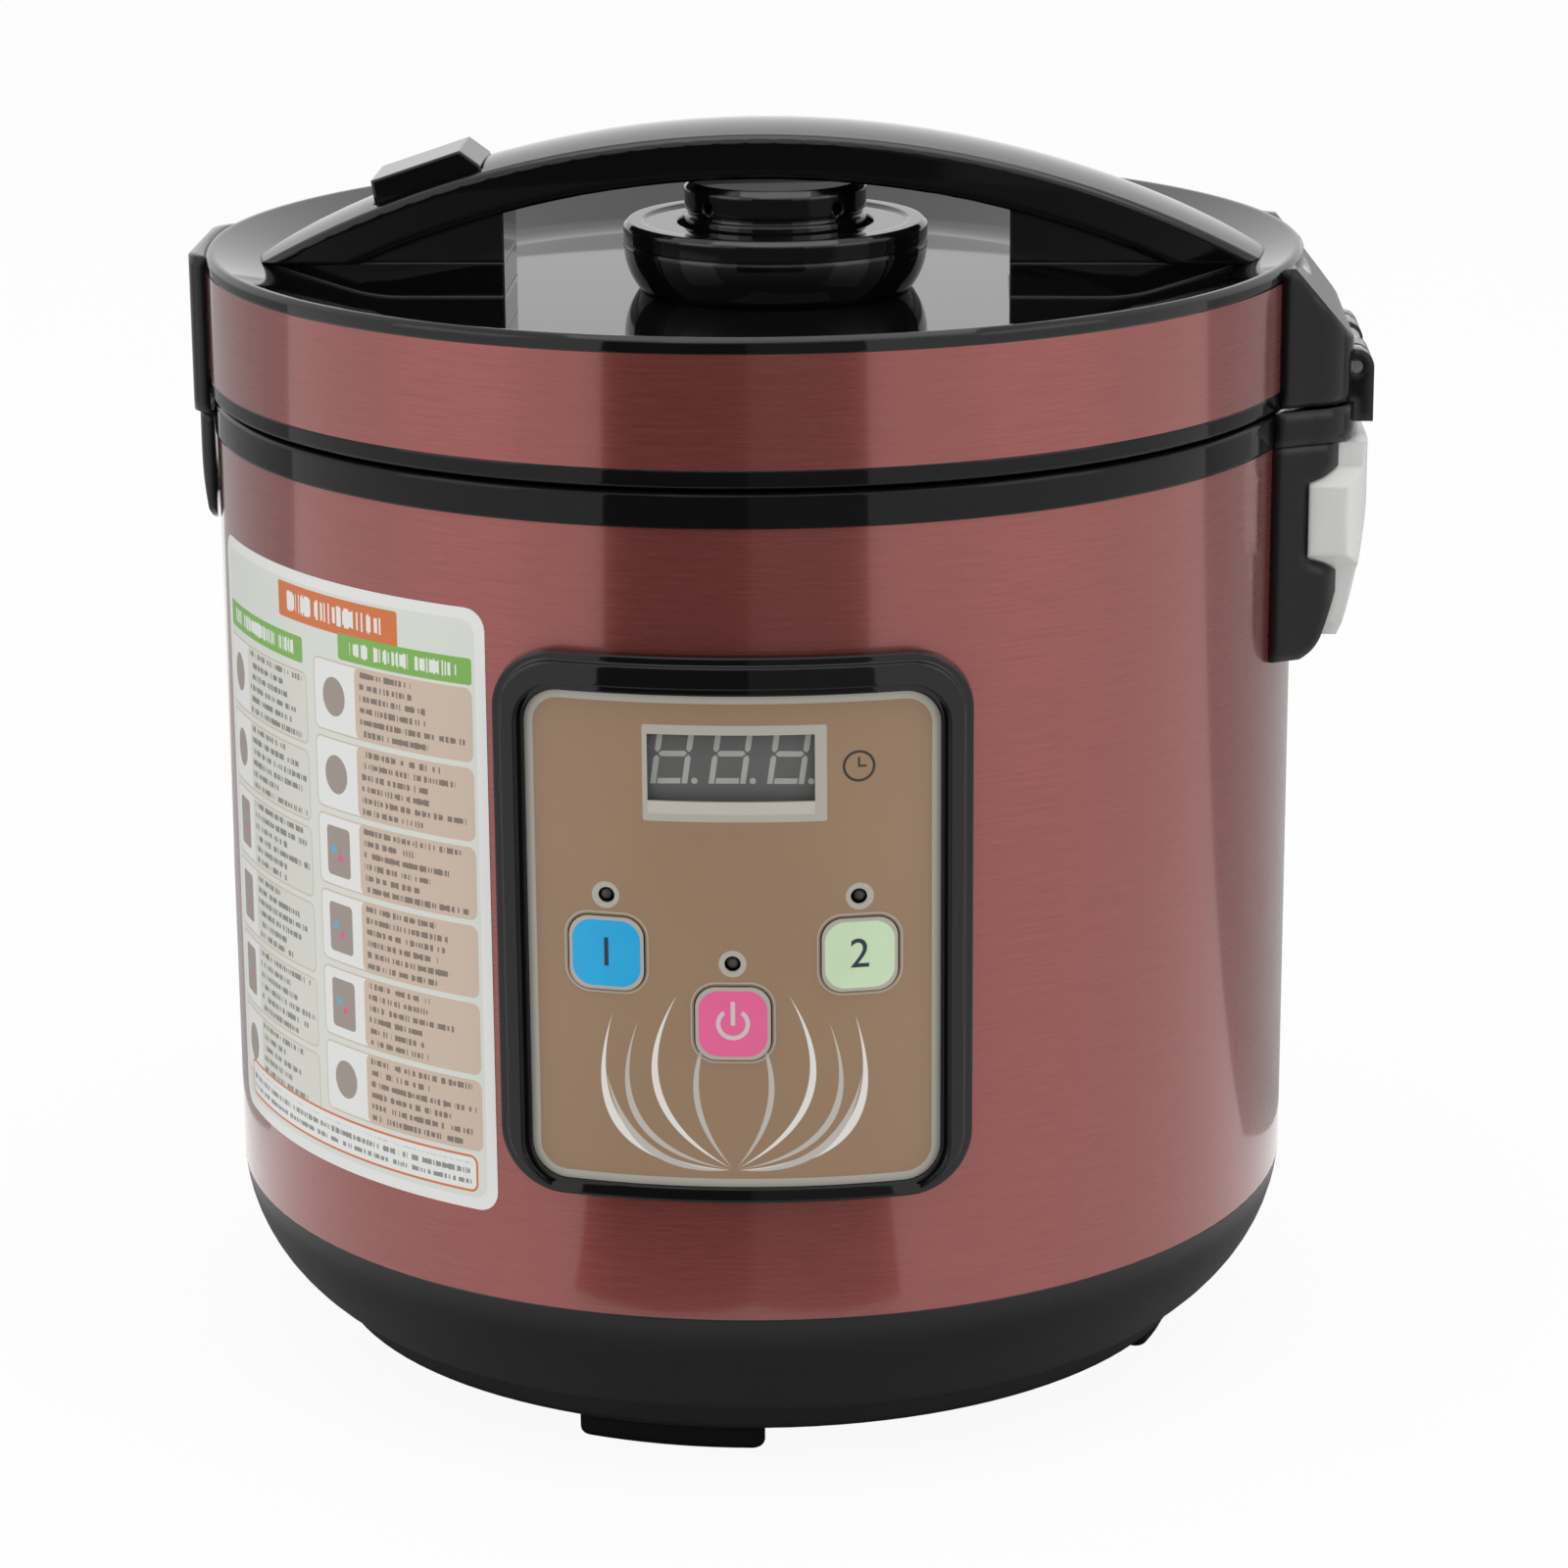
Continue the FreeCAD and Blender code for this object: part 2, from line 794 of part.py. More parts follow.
def heating_plate():
    """Cast plate under the pot, on three feet, with a groove for its element."""
    plate = turned([
        (heater_hole, heater_z),
        (heater_radius - heater_bevel, heater_z),
        (heater_radius, heater_z + heater_bevel),
        (heater_radius, pot_bottom_z - heater_edge),
        (heater_radius - heater_edge, pot_bottom_z),
        (heater_hole, pot_bottom_z),
    ])
    legs = []
    for k in range(heater_leg_count):
        place = polar(heater_radius - heater_leg_inset, 360.0 * k / heater_leg_count)
        legs.append(disc(heater_leg_radius, shield_floor_z + shield_sheet, heater_z + weld, place.x, place.y))
    plate = fuse_all([plate] + legs)
    return plate.cut(Part.makeTorus(element_radius, element_tube + seat_gap, Vector(0, 0, heater_z)))


def heating_element():
    """Sheathed element: most of a ring, with two tails down."""
    circle = closed_face(
        [(element_radius - element_tube, heater_z),
         ((element_radius, heater_z + element_tube), (element_radius + element_tube, heater_z)),
         ((element_radius, heater_z - element_tube), (element_radius - element_tube, heater_z))],
        lambda r, z: Vector(r, 0, z))
    loop = circle.revolve(Vector(0, 0, 0), Vector(0, 0, 1), element_sweep)
    tails = []
    for degrees in (element_tail_turn, element_sweep - element_tail_turn):
        turn = math.radians(degrees)
        x, y = element_radius * math.cos(turn), element_radius * math.sin(turn)
        tails.append(disc(element_tube / 2, heater_z - element_tube - element_tail, heater_z - weld, x, y))
    return fuse_all([loop] + tails)


def sensor_guide():
    """Collar on the shield's floor that guides the pot sensor."""
    floor = shield_floor_z + shield_sheet
    bore = sensor_stem + pin_gap
    return tube(bore, bore + sensor_guide_wall, floor, sensor_guide_z)


def sensor_cap():
    """Pot sensor: a cap on a hollow stem, just under the pot."""
    top = pot_bottom_z - moving_gap
    under = sensor_under_z
    low = shield_floor_z + shield_sheet + sensor_travel + sensor_end_gap
    return turned([
        (0, under),
        (0, top),
        (sensor_radius - sensor_edge, top),
        (sensor_radius, top - sensor_edge),
        (sensor_radius, under),
        (sensor_stem, under),
        (sensor_stem, low),
        (sensor_stem - sensor_wall, low),
        (sensor_stem - sensor_wall, under),
    ])


def sensor_spring():
    """Wound spring between the guide and the sensor's cap."""
    low = sensor_guide_z + wire_radius + seat_gap
    high = sensor_under_z - wire_radius - seat_gap
    pitch = (high - low) / sensor_coil_turns
    spring = coil("sensor_spring", sensor_coil_radius, wire_radius, pitch, sensor_coil_turns)
    return spring.translated(Vector(0, 0, low))


def panel_bezel():
    """Moulded panel frame, bent round the body, with the floor for the overlay and posts for the board."""
    face = body_radius + panel_proud
    ridge = panel_prism(panel_bevel).common(tube(body_radius + seat_gap, face, 0, ring_z))
    skirt = panel_prism(0).common(tube(body_radius + seat_gap, face - panel_bevel, 0, ring_z))
    plug = panel_prism(panel_lap).common(tube(floor_radius - panel_floor, floor_radius, 0, ring_z))
    posts = []
    reach = disc(floor_radius - weld, 0, ring_z)
    for x, z in board_post_places():
        post = rod(Vector(x, board_y, z), Vector(x, -far, z), post_radius)
        posts.append(post.common(reach))
    bezel = fuse_all([skirt, ridge, plug] + posts)
    bezel = bezel.cut(panel_well(0, overlay_corner).common(tube(floor_radius, far, 0, top_z)))
    lip = panel_well(panel_bevel, overlay_corner + panel_bevel)
    bezel = bezel.cut(lip.common(tube(face - panel_bevel, far, 0, top_z)))
    for hole in panel_holes(moving_gap, lamp_hole, window_room):
        bezel = bezel.cut(hole)
    return bezel


def panel_overlay():
    """Thin printed sheet in the bezel's recess."""
    sheet_part = panel_well(-seat_gap, overlay_corner - seat_gap)
    sheet_part = sheet_part.common(tube(floor_radius, overlay_radius, 0, top_z))
    for hole in panel_holes(moving_gap, lamp_hole, 0):
        sheet_part = sheet_part.cut(hole)
    return sheet_part


def display_window():
    """Clear pane let into the overlay's window, flanged behind it."""
    wide = window_width / 2
    tall = window_height / 2
    front = box(seat_gap - wide, wide - seat_gap, -far, -body_radius / 2,
                window_z - tall + seat_gap, window_z + tall - seat_gap)
    front = front.common(tube(floor_radius - weld, overlay_radius, 0, top_z))
    wide += window_flange
    tall += window_flange
    back = box(-wide, wide, -far, -body_radius / 2, window_z - tall, window_z + tall)
    back = back.common(tube(floor_radius - window_flange_thickness, floor_radius, 0, top_z))
    return front.fuse(back).removeSplitter()


def display_module():
    """Three-digit display block on two rows of pins."""
    wide = window_width / 2 + digit_block_side
    tall = window_height / 2 + digit_block_edge
    pane = floor_radius - window_flange_thickness
    front = -math.sqrt(pane ** 2 - (window_width / 2 + window_flange) ** 2) + moving_gap
    block = box(-wide, wide, front, front + digit_block_depth, window_z - tall, window_z + tall)
    rows = [block]
    for side in (-1, 1):
        z = window_z + side * (tall - pin_row_inset)
        end = wide - pin_row_end
        low = z - pin_row_thickness / 2
        rows.append(box(-end, end, front + digit_block_depth - weld, board_y, low, low + pin_row_thickness))
    return fuse_all(rows)


def control_board():
    half = board_width / 2
    low = panel_middle - board_height / 2
    return box(-half, half, board_y, board_y + board_thickness, low, low + board_height)


def tact_switches():
    """Small push switches on the board, each with a bore for its key's stem."""
    switches = []
    half = switch_size / 2
    for x, z in key_places().values():
        body = box(x - half, x + half, board_y - switch_height, board_y, z - half, z + half)
        mouth = Vector(x, board_y - switch_height - over, z)
        end = Vector(x, board_y - switch_floor, z)
        switches.append(body.cut(rod(mouth, end, key_stem_radius + pin_gap)))
    return Part.makeCompound(switches)


def indicator_lamps():
    """Round lamps that stand on the board and end in the overlay's holes."""
    lamps = []
    radius = lamp_hole - moving_gap
    for x, z in lamp_places():
        tip = -math.sqrt(overlay_radius ** 2 - x ** 2) + radius + lamp_sink
        stem = rod(Vector(x, board_y, z), Vector(x, tip, z), radius)
        lamps.append(stem.fuse(Part.makeSphere(radius, Vector(x, tip, z))).removeSplitter())
    return Part.makeCompound(lamps)


def push_key(name):
    """Key cap bent with the panel, on a stem that runs into its switch."""
    x, z = key_places()[name]
    cap = slab_y(rounded_rect(x, z, key_size, key_size, key_corner), -far, -body_radius / 2)
    cap = cap.common(tube(floor_radius - panel_floor + key_root_gap, overlay_radius + key_proud, 0, top_z))
    stem_end = board_y - switch_floor - key_travel - moving_gap
    root = -math.sqrt((floor_radius - weld) ** 2 - x ** 2)
    stem = rod(Vector(x, stem_end, z), Vector(x, root, z), key_stem_radius)
    return cap.fuse(stem).removeSplitter()


def power_board_z():
    return base_z + base_wall + power_board_lift


def power_post_places():
    x = power_board_length / 2 - power_post_inset
    y = power_board_width / 2 - power_post_inset
    return [(-x, -y), (x, -y), (-x, y), (x, y)]


def on_board(x, length, width, lift, height):
    """Block on the power board, centred on x, lifted off the board."""
    z = power_board_z() + board_thickness + lift
    return box(x - length / 2, x + length / 2, -width / 2, width / 2, z, z + height)


def power_board():
    return on_board(0, power_board_length, power_board_width, -board_thickness, board_thickness)


def transformer():
    """Laminated core with a wound bobbin."""
    core = on_board(core_x, core_length, core_width, 0, core_height)
    bobbin = on_board(core_x, bobbin_length, bobbin_width, (core_height - bobbin_height) / 2, bobbin_height)
    return fuse_all([core, bobbin])


def relay():
    block = on_board(relay_x, relay_length, relay_width, 0, relay_height)
    low = block.BoundBox.ZMin
    return block.makeFillet(relay_edge, [e for e in block.Edges if e.BoundBox.ZMin > low + relay_edge])


def power_inlet():
    """Recessed appliance inlet, low at the back."""
    back = body_radius - inlet_depth
    front = body_radius + inlet_proud
    wide = inlet_width + 2 * inlet_flange
    tall = inlet_height + 2 * inlet_flange
    flange = slab_y(rounded_rect(0, inlet_z, wide, tall, inlet_flange_corner), body_radius / 2, far)
    flange = flange.common(tube(body_radius + seat_gap, front, 0, ring_z))
    housing = slab_y(rounded_rect(0, inlet_z, inlet_width, inlet_height, inlet_corner), back, front)
    housing = housing.common(disc(front, 0, ring_z))
    wide = inlet_width - 2 * inlet_wall
    tall = inlet_height - 2 * inlet_wall
    socket = slab_y(rounded_rect(0, inlet_z, wide, tall, inlet_socket_corner), back + inlet_wall, far)
    return fuse_all([flange, housing]).cut(socket)


def inlet_pins():
    back = body_radius - inlet_depth + inlet_wall
    side = (inlet_width - 2 * inlet_wall) / 4
    wide = inlet_blade_width / 2
    tall = inlet_blade_height / 2
    pins = []
    for x, lift in ((-side, inlet_low_pins), (side, inlet_low_pins), (0, inlet_high_pin)):
        z = inlet_z + lift
        pins.append(box(x - wide, x + wide, back, back + inlet_pin, z - tall, z + tall))
    return Part.makeCompound(pins)


def hinge_plan(margin):
    """Plan of the hinge side: slanted flanks, round corners and a flat back."""
    x1 = hinge_x + margin
    w = hinge_half_width + margin
    x0 = hinge_root
    xa = math.sqrt(lid_radius ** 2 - hinge_half_width ** 2)
    xb = x1 - hinge_corner_run
    yb = w - hinge_flank
    yc = w - hinge_corner_side
    xm = xb + (x1 - xb) * hinge_corner_bulge_x
    ym = yc + (yb - yc) * hinge_corner_bulge_y
    return [
        (x0, -w),
        (xa, -w),
        (xb, -yb),
        ((xm, -ym), (x1, -yc)),
        (x1, yc),
        ((xm, ym), (xb, yb)),
        (xa, w),
        (x0, w),
    ]


def lid_hinge_cover():
    """Sloped cover at the back of the lid, with the barrel that turns on the hinge pin."""
    cover = slab_z(hinge_plan(0), lid_z, top_z)
    slope_z = top_z - hinge_slope_drop
    high = top_z - hinge_top_drop
    profile = slab_y([
        (hinge_root, lid_z),
        (hinge_x + over, lid_z),
        (hinge_x + over, slope_z - hinge_slope_foot),
        (hinge_x - hinge_slope_step, slope_z),
        (lid_radius - hinge_slope_inset, high),
        (hinge_root, high),
    ], -far, far)
    cover = cover.common(profile).cut(disc(lid_radius + seat_gap, 0, far))
    room = barrel_radius + run_gap
    span = ear_inner + ear_width + run_gap
    for side in (-1, 1):
        y0, y1 = sorted((side * (ear_inner - run_gap), side * span))
        ear_x = pin_x - barrel_radius - run_gap - ear_room
        cover = cover.cut(box(ear_x, far, y0, y1, lid_z - over, pin_z + barrel_radius + ear_room))
    end = ear_inner - run_gap
    web_low = pin_z - barrel_web / 2
    web = box(pin_x - 2 * barrel_radius, pin_x, -end, end, web_low, web_low + barrel_web)
    cover = fuse_all([cover, hinge_rod(end, barrel_radius), web])
    half = spring_room() / 2
    cover = cover.cut(hinge_rod(half, room))
    cover = cover.cut(box(pin_x - room, far, -half, half, lid_z - over, pin_z))
    return cover.cut(hinge_rod(far, pin_radius + pin_gap))


def hinge_rod(half_length, radius):
    """Cylinder on the hinge's axis."""
    return rod(Vector(pin_x, -half_length, pin_z), Vector(pin_x, half_length, pin_z), radius)


def latch_rod(half_length, radius):
    """Cylinder on the latch lever's axis."""
    return rod(Vector(pivot_x, -half_length, pivot_z), Vector(pivot_x, half_length, pivot_z), radius)


def spring_room():
    """Length of the gap in the lid's barrel that the hinge spring sits in."""
    return hinge_coil_turns * coil_pitch + coil_end_room


def hinge_bracket():
    """Band at the body's rim with the two ears that hold the hinge pin."""
    band = slab_z(hinge_plan(hinge_band_proud), ring_z, rim_z)
    pieces = [band.cut(disc(body_radius + body_ring_proud + seat_gap, 0, far))]
    for side in (-1, 1):
        y0, y1 = sorted((side * ear_inner, side * (ear_inner + ear_width)))
        ear = rod(Vector(pin_x, y0, pin_z), Vector(pin_x, y1, pin_z), barrel_radius)
        stem = box(pin_x - barrel_radius, pin_x + barrel_radius, y0, y1, rim_z - weld, pin_z)
        pad = box(hinge_x - ear_pad_depth, pin_x + barrel_radius, y0, y1, rim_z - ear_pad_height, rim_z)
        pieces += [ear, stem, pad]
    return fuse_all(pieces).cut(hinge_rod(far, pin_radius + pin_gap))


def hinge_pin():
    return hinge_rod(ear_inner + ear_width - pin_end_inset, pin_radius)


def hinge_spring():
    """Torsion spring round the pin, with both legs down to the bracket."""
    leg = pin_z - rim_z - wire_radius - seat_gap
    spring = coil("hinge_spring", coil_radius, wire_radius, coil_pitch, hinge_coil_turns, leg)
    spring.translate(Vector(0, 0, -hinge_coil_turns * coil_pitch / 2))
    spring.rotate(Vector(0, 0, 0), Vector(1, 0, 0), 90)
    spring.translate(Vector(pin_x, 0, pin_z))
    return spring


def cup_outline(margin):
    """Front view (y, z) of the water collector, drawn out by a margin."""
    wide = cup_half_width + margin
    neck = cup_neck_half_width + margin
    low = cup_bottom_z - margin
    high = cup_top_z + margin
    a = cup_bottom_z + cup_wide_low - margin
    b = cup_bottom_z + cup_wide_high + margin
    step = cup_step
    return [
        (-neck + step, low),
        (neck - step, low),
        (neck, low + step),
        (neck, a - step),
        (wide, a),
        (wide, b - step),
        (neck, b),
        (neck, high),
        (-neck, high),
        (-neck, b),
        (-wide, b - step),
        (-wide, a),
        (-neck, a - step),
        (-neck, low + step),
    ]


def column_side(margin):
    """Side view (x, z) of the hinge column, with its foot drawn in."""
    back = hinge_x + margin
    foot = hinge_x - column_foot_inset + margin
    low = column_z - margin
    swell_z = column_z + column_height * column_swell_at
    bend_z = column_z + column_height * column_bend_at
    return [
        (hinge_root, low),
        (foot - column_toe, low),
        ((foot, low + column_toe_bulge), (foot + column_toe_out, low + column_toe_rise)),
        ((back - column_swell, swell_z), (back, bend_z)),
        (back, ring_z + margin),
        (hinge_root, ring_z + margin),
    ]


def hinge_column():
    """Cover below the hinge, with the bay that the water collector slides into."""
    column = slab_z(hinge_plan(0), column_z, ring_z)
    column = column.common(slab_y(column_side(0), -far, far))
    column = column.cut(disc(body_radius + seat_gap, 0, far))
    return column.cut(slab_x(cup_outline(run_gap), cup_back_x - run_gap, far))


def water_collector():
    """Clear cup that slides out of the hinge column, open at the top and ribbed inside its back wall."""
    shapes = []
    for inset in (0, cup_wall):
        cup = slab_x(cup_outline(-inset), cup_back_x + inset, far)
        cup = cup.common(slab_z(hinge_plan(cup_proud - inset), cup_bottom_z - over, ring_z))
        shapes.append(cup.common(slab_y(column_side(cup_proud - inset), -far, far)))
    outer, hollow = shapes
    rib_x = hinge_x + cup_proud - cup_wall - cup_rib_depth
    for k in range(cup_rib_count):
        y0 = (k - (cup_rib_count - 1) / 2) * cup_rib_pitch - cup_rib_width / 2
        hollow = hollow.cut(box(rib_x, far, y0, y0 + cup_rib_width, cup_bottom_z, cup_top_z))
    half = cup_neck_half_width - cup_wall - cup_mouth_inset
    mouth = box(cup_back_x + cup_wall, hinge_x - cup_lip, -half, half, cup_top_z - 2 * cup_wall, ring_z)
    return outer.cut(hollow).cut(mouth)


def dish_height(radius):
    """Height of the dish's slope at a radius."""
    share = (radius - dish_floor_radius) / (dish_radius - dish_floor_radius)
    return plate_z + share * lid_dish_depth


def lid_surface():
    """The lid's top line (radius, z) from its outer edge down the sloped dish to the axis."""
    slope = math.atan2(lid_dish_depth, dish_radius - dish_floor_radius)
    rise = dish_bend * math.tan(slope / 4)
    bend = (dish_floor_radius - rise * math.sin(slope / 2), plate_z + rise * math.cos(slope / 2))
    return [
        (lid_radius, top_z - lid_edge),
        (lid_radius - lid_edge, top_z),
        (dish_radius, top_z),
        (dish_floor_radius + dish_bend * math.cos(slope), plate_z + dish_bend * math.sin(slope)),
        (bend, (dish_floor_radius - dish_bend, plate_z)),
        (0, plate_z),
    ]


def handle_pads():
    """The two raised seats on the lid under the handle's ends."""
    half = handle_width / 2 - handle_web_inset
    left = box(-lid_radius, handle_centre_x - handle_gap_left, -half, half, plate_z - weld, handle_base_z)
    right = box(handle_centre_x + handle_gap_right, lid_radius, -half, half, plate_z - weld, handle_base_z)
    return left.fuse(right).common(disc(dish_radius - handle_pad_inset, 0, far))


def stem_passage():
    """Way for the button's stem through the handle and the lid."""
    room = stem_radius + run_gap
    shift = button_travel * slope_sin
    return box(stem_x - room, stem_x + room + shift, -room, room, pivot_z, button_z)


def handle_screw_places():
    left = handle_centre_x - handle_gap_left - handle_screw_left
    right = handle_centre_x + handle_gap_right + handle_screw_right
    return [(x, y) for x in (left, right) for y in (-handle_screw_side, handle_screw_side)]


def lid_top():
    """Dished gloss top with handle seats and lugs for the latch pin."""
    skirt = lid_rim_z - lid_skirt
    skirt_inside = lid_spigot - wall
    underside = [
        (0, plate_z - lid_wall),
        (dish_floor_radius, plate_z - lid_wall),
        (skirt_inside, dish_height(skirt_inside) - lid_wall),
        (skirt_inside, skirt),
        (lid_spigot, skirt),
        (lid_spigot, lid_rim_z),
        (lid_radius, lid_rim_z),
    ]
    top = turned(underside + lid_surface())
    lugs = []
    reach = lever_hub + lug_margin
    lug_top = dish_height(-pivot_x - reach) - lid_wall / 2
    for side in (-1, 1):
        y0, y1 = sorted((side * lug_inner(), side * (lug_inner() + lug_thickness)))
        lugs.append(box(pivot_x - reach, pivot_x + reach, y0, y1, pivot_z - reach, lug_top))
    top = fuse_all([top, handle_pads()] + lugs)
    top = top.cut(latch_rod(2 * handle_width, pin_radius + pin_gap))
    top = top.cut(stem_passage()).cut(disc(vent_passage, 0, far, vent_x))
    for x, y in handle_screw_places():
        top = top.cut(disc(screw_radius + seat_gap, 0, far, x, y))
    return top


def lug_inner():
    """Distance of the latch lugs from the middle, which leaves room for the latch spring."""
    return hook_width / 2 + 2 * coil_side_room + (latch_coil_turns + 0.5) * coil_pitch


def lid_band():
    return tube(lid_inside, lid_radius, lid_band_z, lid_rim_z)


def lid_lower_ring():
    """Moulded ring under the lid's band, with the flange that carries the liner."""
    mouth = pot_radius + pot_rim + lid_mouth_gap
    ring = turned([
        (mouth + lid_mouth_bevel, lid_z),
        (lid_radius - lid_ring_edge, lid_z),
        (lid_radius, lid_z + lid_ring_edge),
        (lid_radius, lid_band_z),
        (lid_spigot, lid_band_z),
        (lid_spigot, lid_band_z + spigot_height),
        (lid_spigot - wall, lid_band_z + spigot_height),
        (lid_spigot - wall, lid_band_z),
        (mouth, lid_band_z),
        (mouth, lid_z + lid_mouth_rise),
    ])
    return ring.cut(hook_slot(lid_z - over, lid_band_z + spigot_height + over))


def lid_liner():
    """Flat inner cover on the lower ring's flange."""
    edge = pot_radius + pot_rim + lid_mouth_gap + liner_seat
    liner = disc(edge, lid_band_z, lid_band_z + liner_thickness)
    return liner.cut(disc(liner_port_radius, 0, far, liner_port_x))


def inner_lid_levels():
    """Underside heights of the inner lid's rim and dish."""
    rim = lid_z + inner_lid_lift
    return rim, rim - inner_lid_drop


def inner_lid():
    """Removable dished plate over the pot, with steam holes."""
    rim, dish = inner_lid_levels()
    edge = pot_radius + pot_rim - inner_lid_edge_inset
    rise = pot_radius - inner_lid_rim_inset
    flat = pot_radius - inner_lid_flat_inset
    plate = turned([
        (0, dish),
        (flat, dish),
        (rise, rim),
        (edge, rim),
        (edge, rim + inner_lid_sheet),
        (rise - inner_lid_wall_shift, rim + inner_lid_sheet),
        (flat - inner_lid_wall_shift, dish + inner_lid_sheet),
        (0, dish + inner_lid_sheet),
    ])
    for k in range(steam_hole_count):
        place = polar(steam_hole_ring, 360.0 * (k + 0.5) / steam_hole_count)
        plate = plate.cut(disc(steam_hole_radius, 0, far, place.x, place.y))
    return plate.cut(disc(knob_neck_radius, 0, far))


def lid_gasket():
    """Rubber ring under the inner lid's rim, just above the pot."""
    rim = inner_lid_levels()[0]
    low = pot_seat_z + pot_rim_thickness + moving_gap
    return tube(pot_radius - gasket_lap, pot_radius + pot_rim - gasket_inset, low, rim)


def inner_lid_knob():
    """Rubber grommet that holds the inner lid on the liner."""
    dish = inner_lid_levels()[1]
    foot = dish - knob_height
    neck = knob_neck_radius - seat_gap
    return turned([
        (0, foot),
        (knob_radius - knob_edge, foot),
        (knob_radius, foot + knob_edge),
        (knob_radius, dish),
        (neck, dish),
        (neck, lid_band_z),
        (0, lid_band_z),
    ])


def handle_section():
    """Section (radius from the arch's axis, y) with a bulged top and round corners."""
    inner = handle_radius - handle_thickness
    outer = handle_radius
    half = handle_width / 2
    c = handle_corner
    k = c * (1 - math.sqrt(0.5))
    return [
        (inner, -half + c),
        ((inner + k, -half + k), (inner + c, -half)),
        (outer - c, -half),
        ((outer - k, -half + k), (outer, -half + c)),
        ((outer + handle_bulge, 0), (outer, half - c)),
        ((outer - k, half - k), (outer - c, half)),
        (inner + c, half),
        ((inner + k, half - k), (inner, half - c)),
    ]


def handle_arch():
    """Arched handle: a bulged band turned about a level axis, with webs below its ends."""
    axis = Vector(handle_centre_x, 0, handle_axis_z)
    face = closed_face(handle_section(), lambda r, y: Vector(handle_centre_x, y, handle_axis_z + r))
    sweep = 2 * math.degrees(math.asin((handle_half_span + handle_overrun) / handle_radius))
    face.rotate(axis, Vector(0, 1, 0), -sweep / 2)
    band = face.revolve(axis, Vector(0, 1, 0), sweep)
    half = handle_width / 2 - handle_web_inset
    under = handle_radius - handle_thickness + weld
    webs = Part.makeCylinder(under, 2 * half, axis + Vector(0, -half, 0), Vector(0, 1, 0))
    webs = webs.common(box(-lid_radius, lid_radius, -half, half, handle_base_z, far))
    gap_left = handle_centre_x - handle_gap_left
    gap_right = handle_centre_x + handle_gap_right
    webs = webs.cut(box(gap_left, gap_right, -far, far, 0, far))
    arch = fuse_all([band, webs])
    arch = arch.cut(box(-far, far, -far, far, 0, handle_base_z))
    arch = arch.cut(turned([(0, lid_z), (lid_radius, lid_z)] + lid_surface()))
    arch = arch.cut(button_prism(run_gap, button_root + button_travel + run_gap, far))
    arch = arch.cut(stem_passage())
    for x, y in handle_screw_places():
        arch = arch.cut(disc(screw_radius + seat_gap, 0, handle_base_z + handle_screw_bite + weld, x, y))
    return arch


def handle_screws():
    """Screws up through the lid into the handle's webs."""
    screws = []
    under = plate_z - lid_wall
    for x, y in handle_screw_places():
        head = disc(screw_head_radius, under - screw_head_height, under, x, y)
        shank = disc(screw_radius, under - weld, handle_base_z + handle_screw_bite, x, y)
        screws.append(head.fuse(shank).removeSplitter())
    return Part.makeCompound(screws)


def on_slope(u, n):
    """Point (x, z) at u along the handle's slope and n out of it."""
    return (button_x + u * slope_cos - n * slope_sin, button_z + u * slope_sin + n * slope_cos)


def button_prism(margin, root, proud):
    """Square-ended prism round the button, for its slot in the handle."""
    half = button_length / 2 + margin
    corners = ((-half, -root), (half, -root), (half, proud), (-half, proud))
    side = button_width / 2 + margin
    return slab_y([on_slope(u, n) for u, n in corners], -side, side)


def release_button():
    """Wedge-ended button in the handle's slope, with a stem down to the latch lever."""
    half = button_length / 2
    corners = (
        (-half, -button_root),
        (half, -button_root),
        (half, button_foot),
        (half - button_end_slant, button_proud),
        (button_foot - half, button_proud),
        (-half, button_foot),
    )
    side = button_width / 2
    cap = slab_y([on_slope(u, n) for u, n in corners], -side, side)
    flanks = [e for e in cap.Edges if e.BoundBox.YLength < button_edge]
    top = [e for e in flanks if out_of_slope(e.CenterOfMass) > button_foot + button_edge]
    cap = cap.makeFillet(button_edge, top)
    stem = disc(stem_radius, lever_top_z + stem_gap, button_z - stem_top_drop, stem_x)
    return fuse_all([cap, stem])


def out_of_slope(point):
    return (point.z - button_z) * slope_cos - (point.x - button_x) * slope_sin


def latch_lever():
    """Bell-crank: an arm under the button's stem and a hook down into the body's rim."""
    half = hook_width / 2
    side = lever_arm_half
    arm = box(pivot_x, stem_x + side, -side, side, pivot_z - lever_arm / 2, lever_top_z)
    x0 = hook_x - hook_thickness / 2
    x1 = hook_x + hook_thickness / 2
    tip_z = hook_tip_z
    hook = slab_y([
        (x0, tip_z),
        (x1, tip_z),
        (x1 + hook_nose, tip_z + hook_nose_slope),
        (x1 + hook_nose, tip_z + hook_nose_height),
        (x1, tip_z + hook_nose_height),
        (x1, pivot_z),
        (x0, pivot_z),
    ], -half, half)
    lever = fuse_all([latch_rod(half, lever_hub), arm, hook])
    return lever.cut(latch_rod(far, pin_radius + pin_gap))


def latch_pin():
    return latch_rod(lug_inner() + lug_thickness - pin_end_inset, pin_radius)


def latch_spring():
    """Torsion spring on the latch pin, beside the lever."""
    spring = coil("latch_spring", coil_radius, wire_radius, coil_pitch, latch_coil_turns, latch_spring_leg)
    spring.rotate(Vector(0, 0, 0), Vector(1, 0, 0), -90)
    spring.translate(Vector(pivot_x, hook_width / 2 + coil_side_room, pivot_z))
    return spring


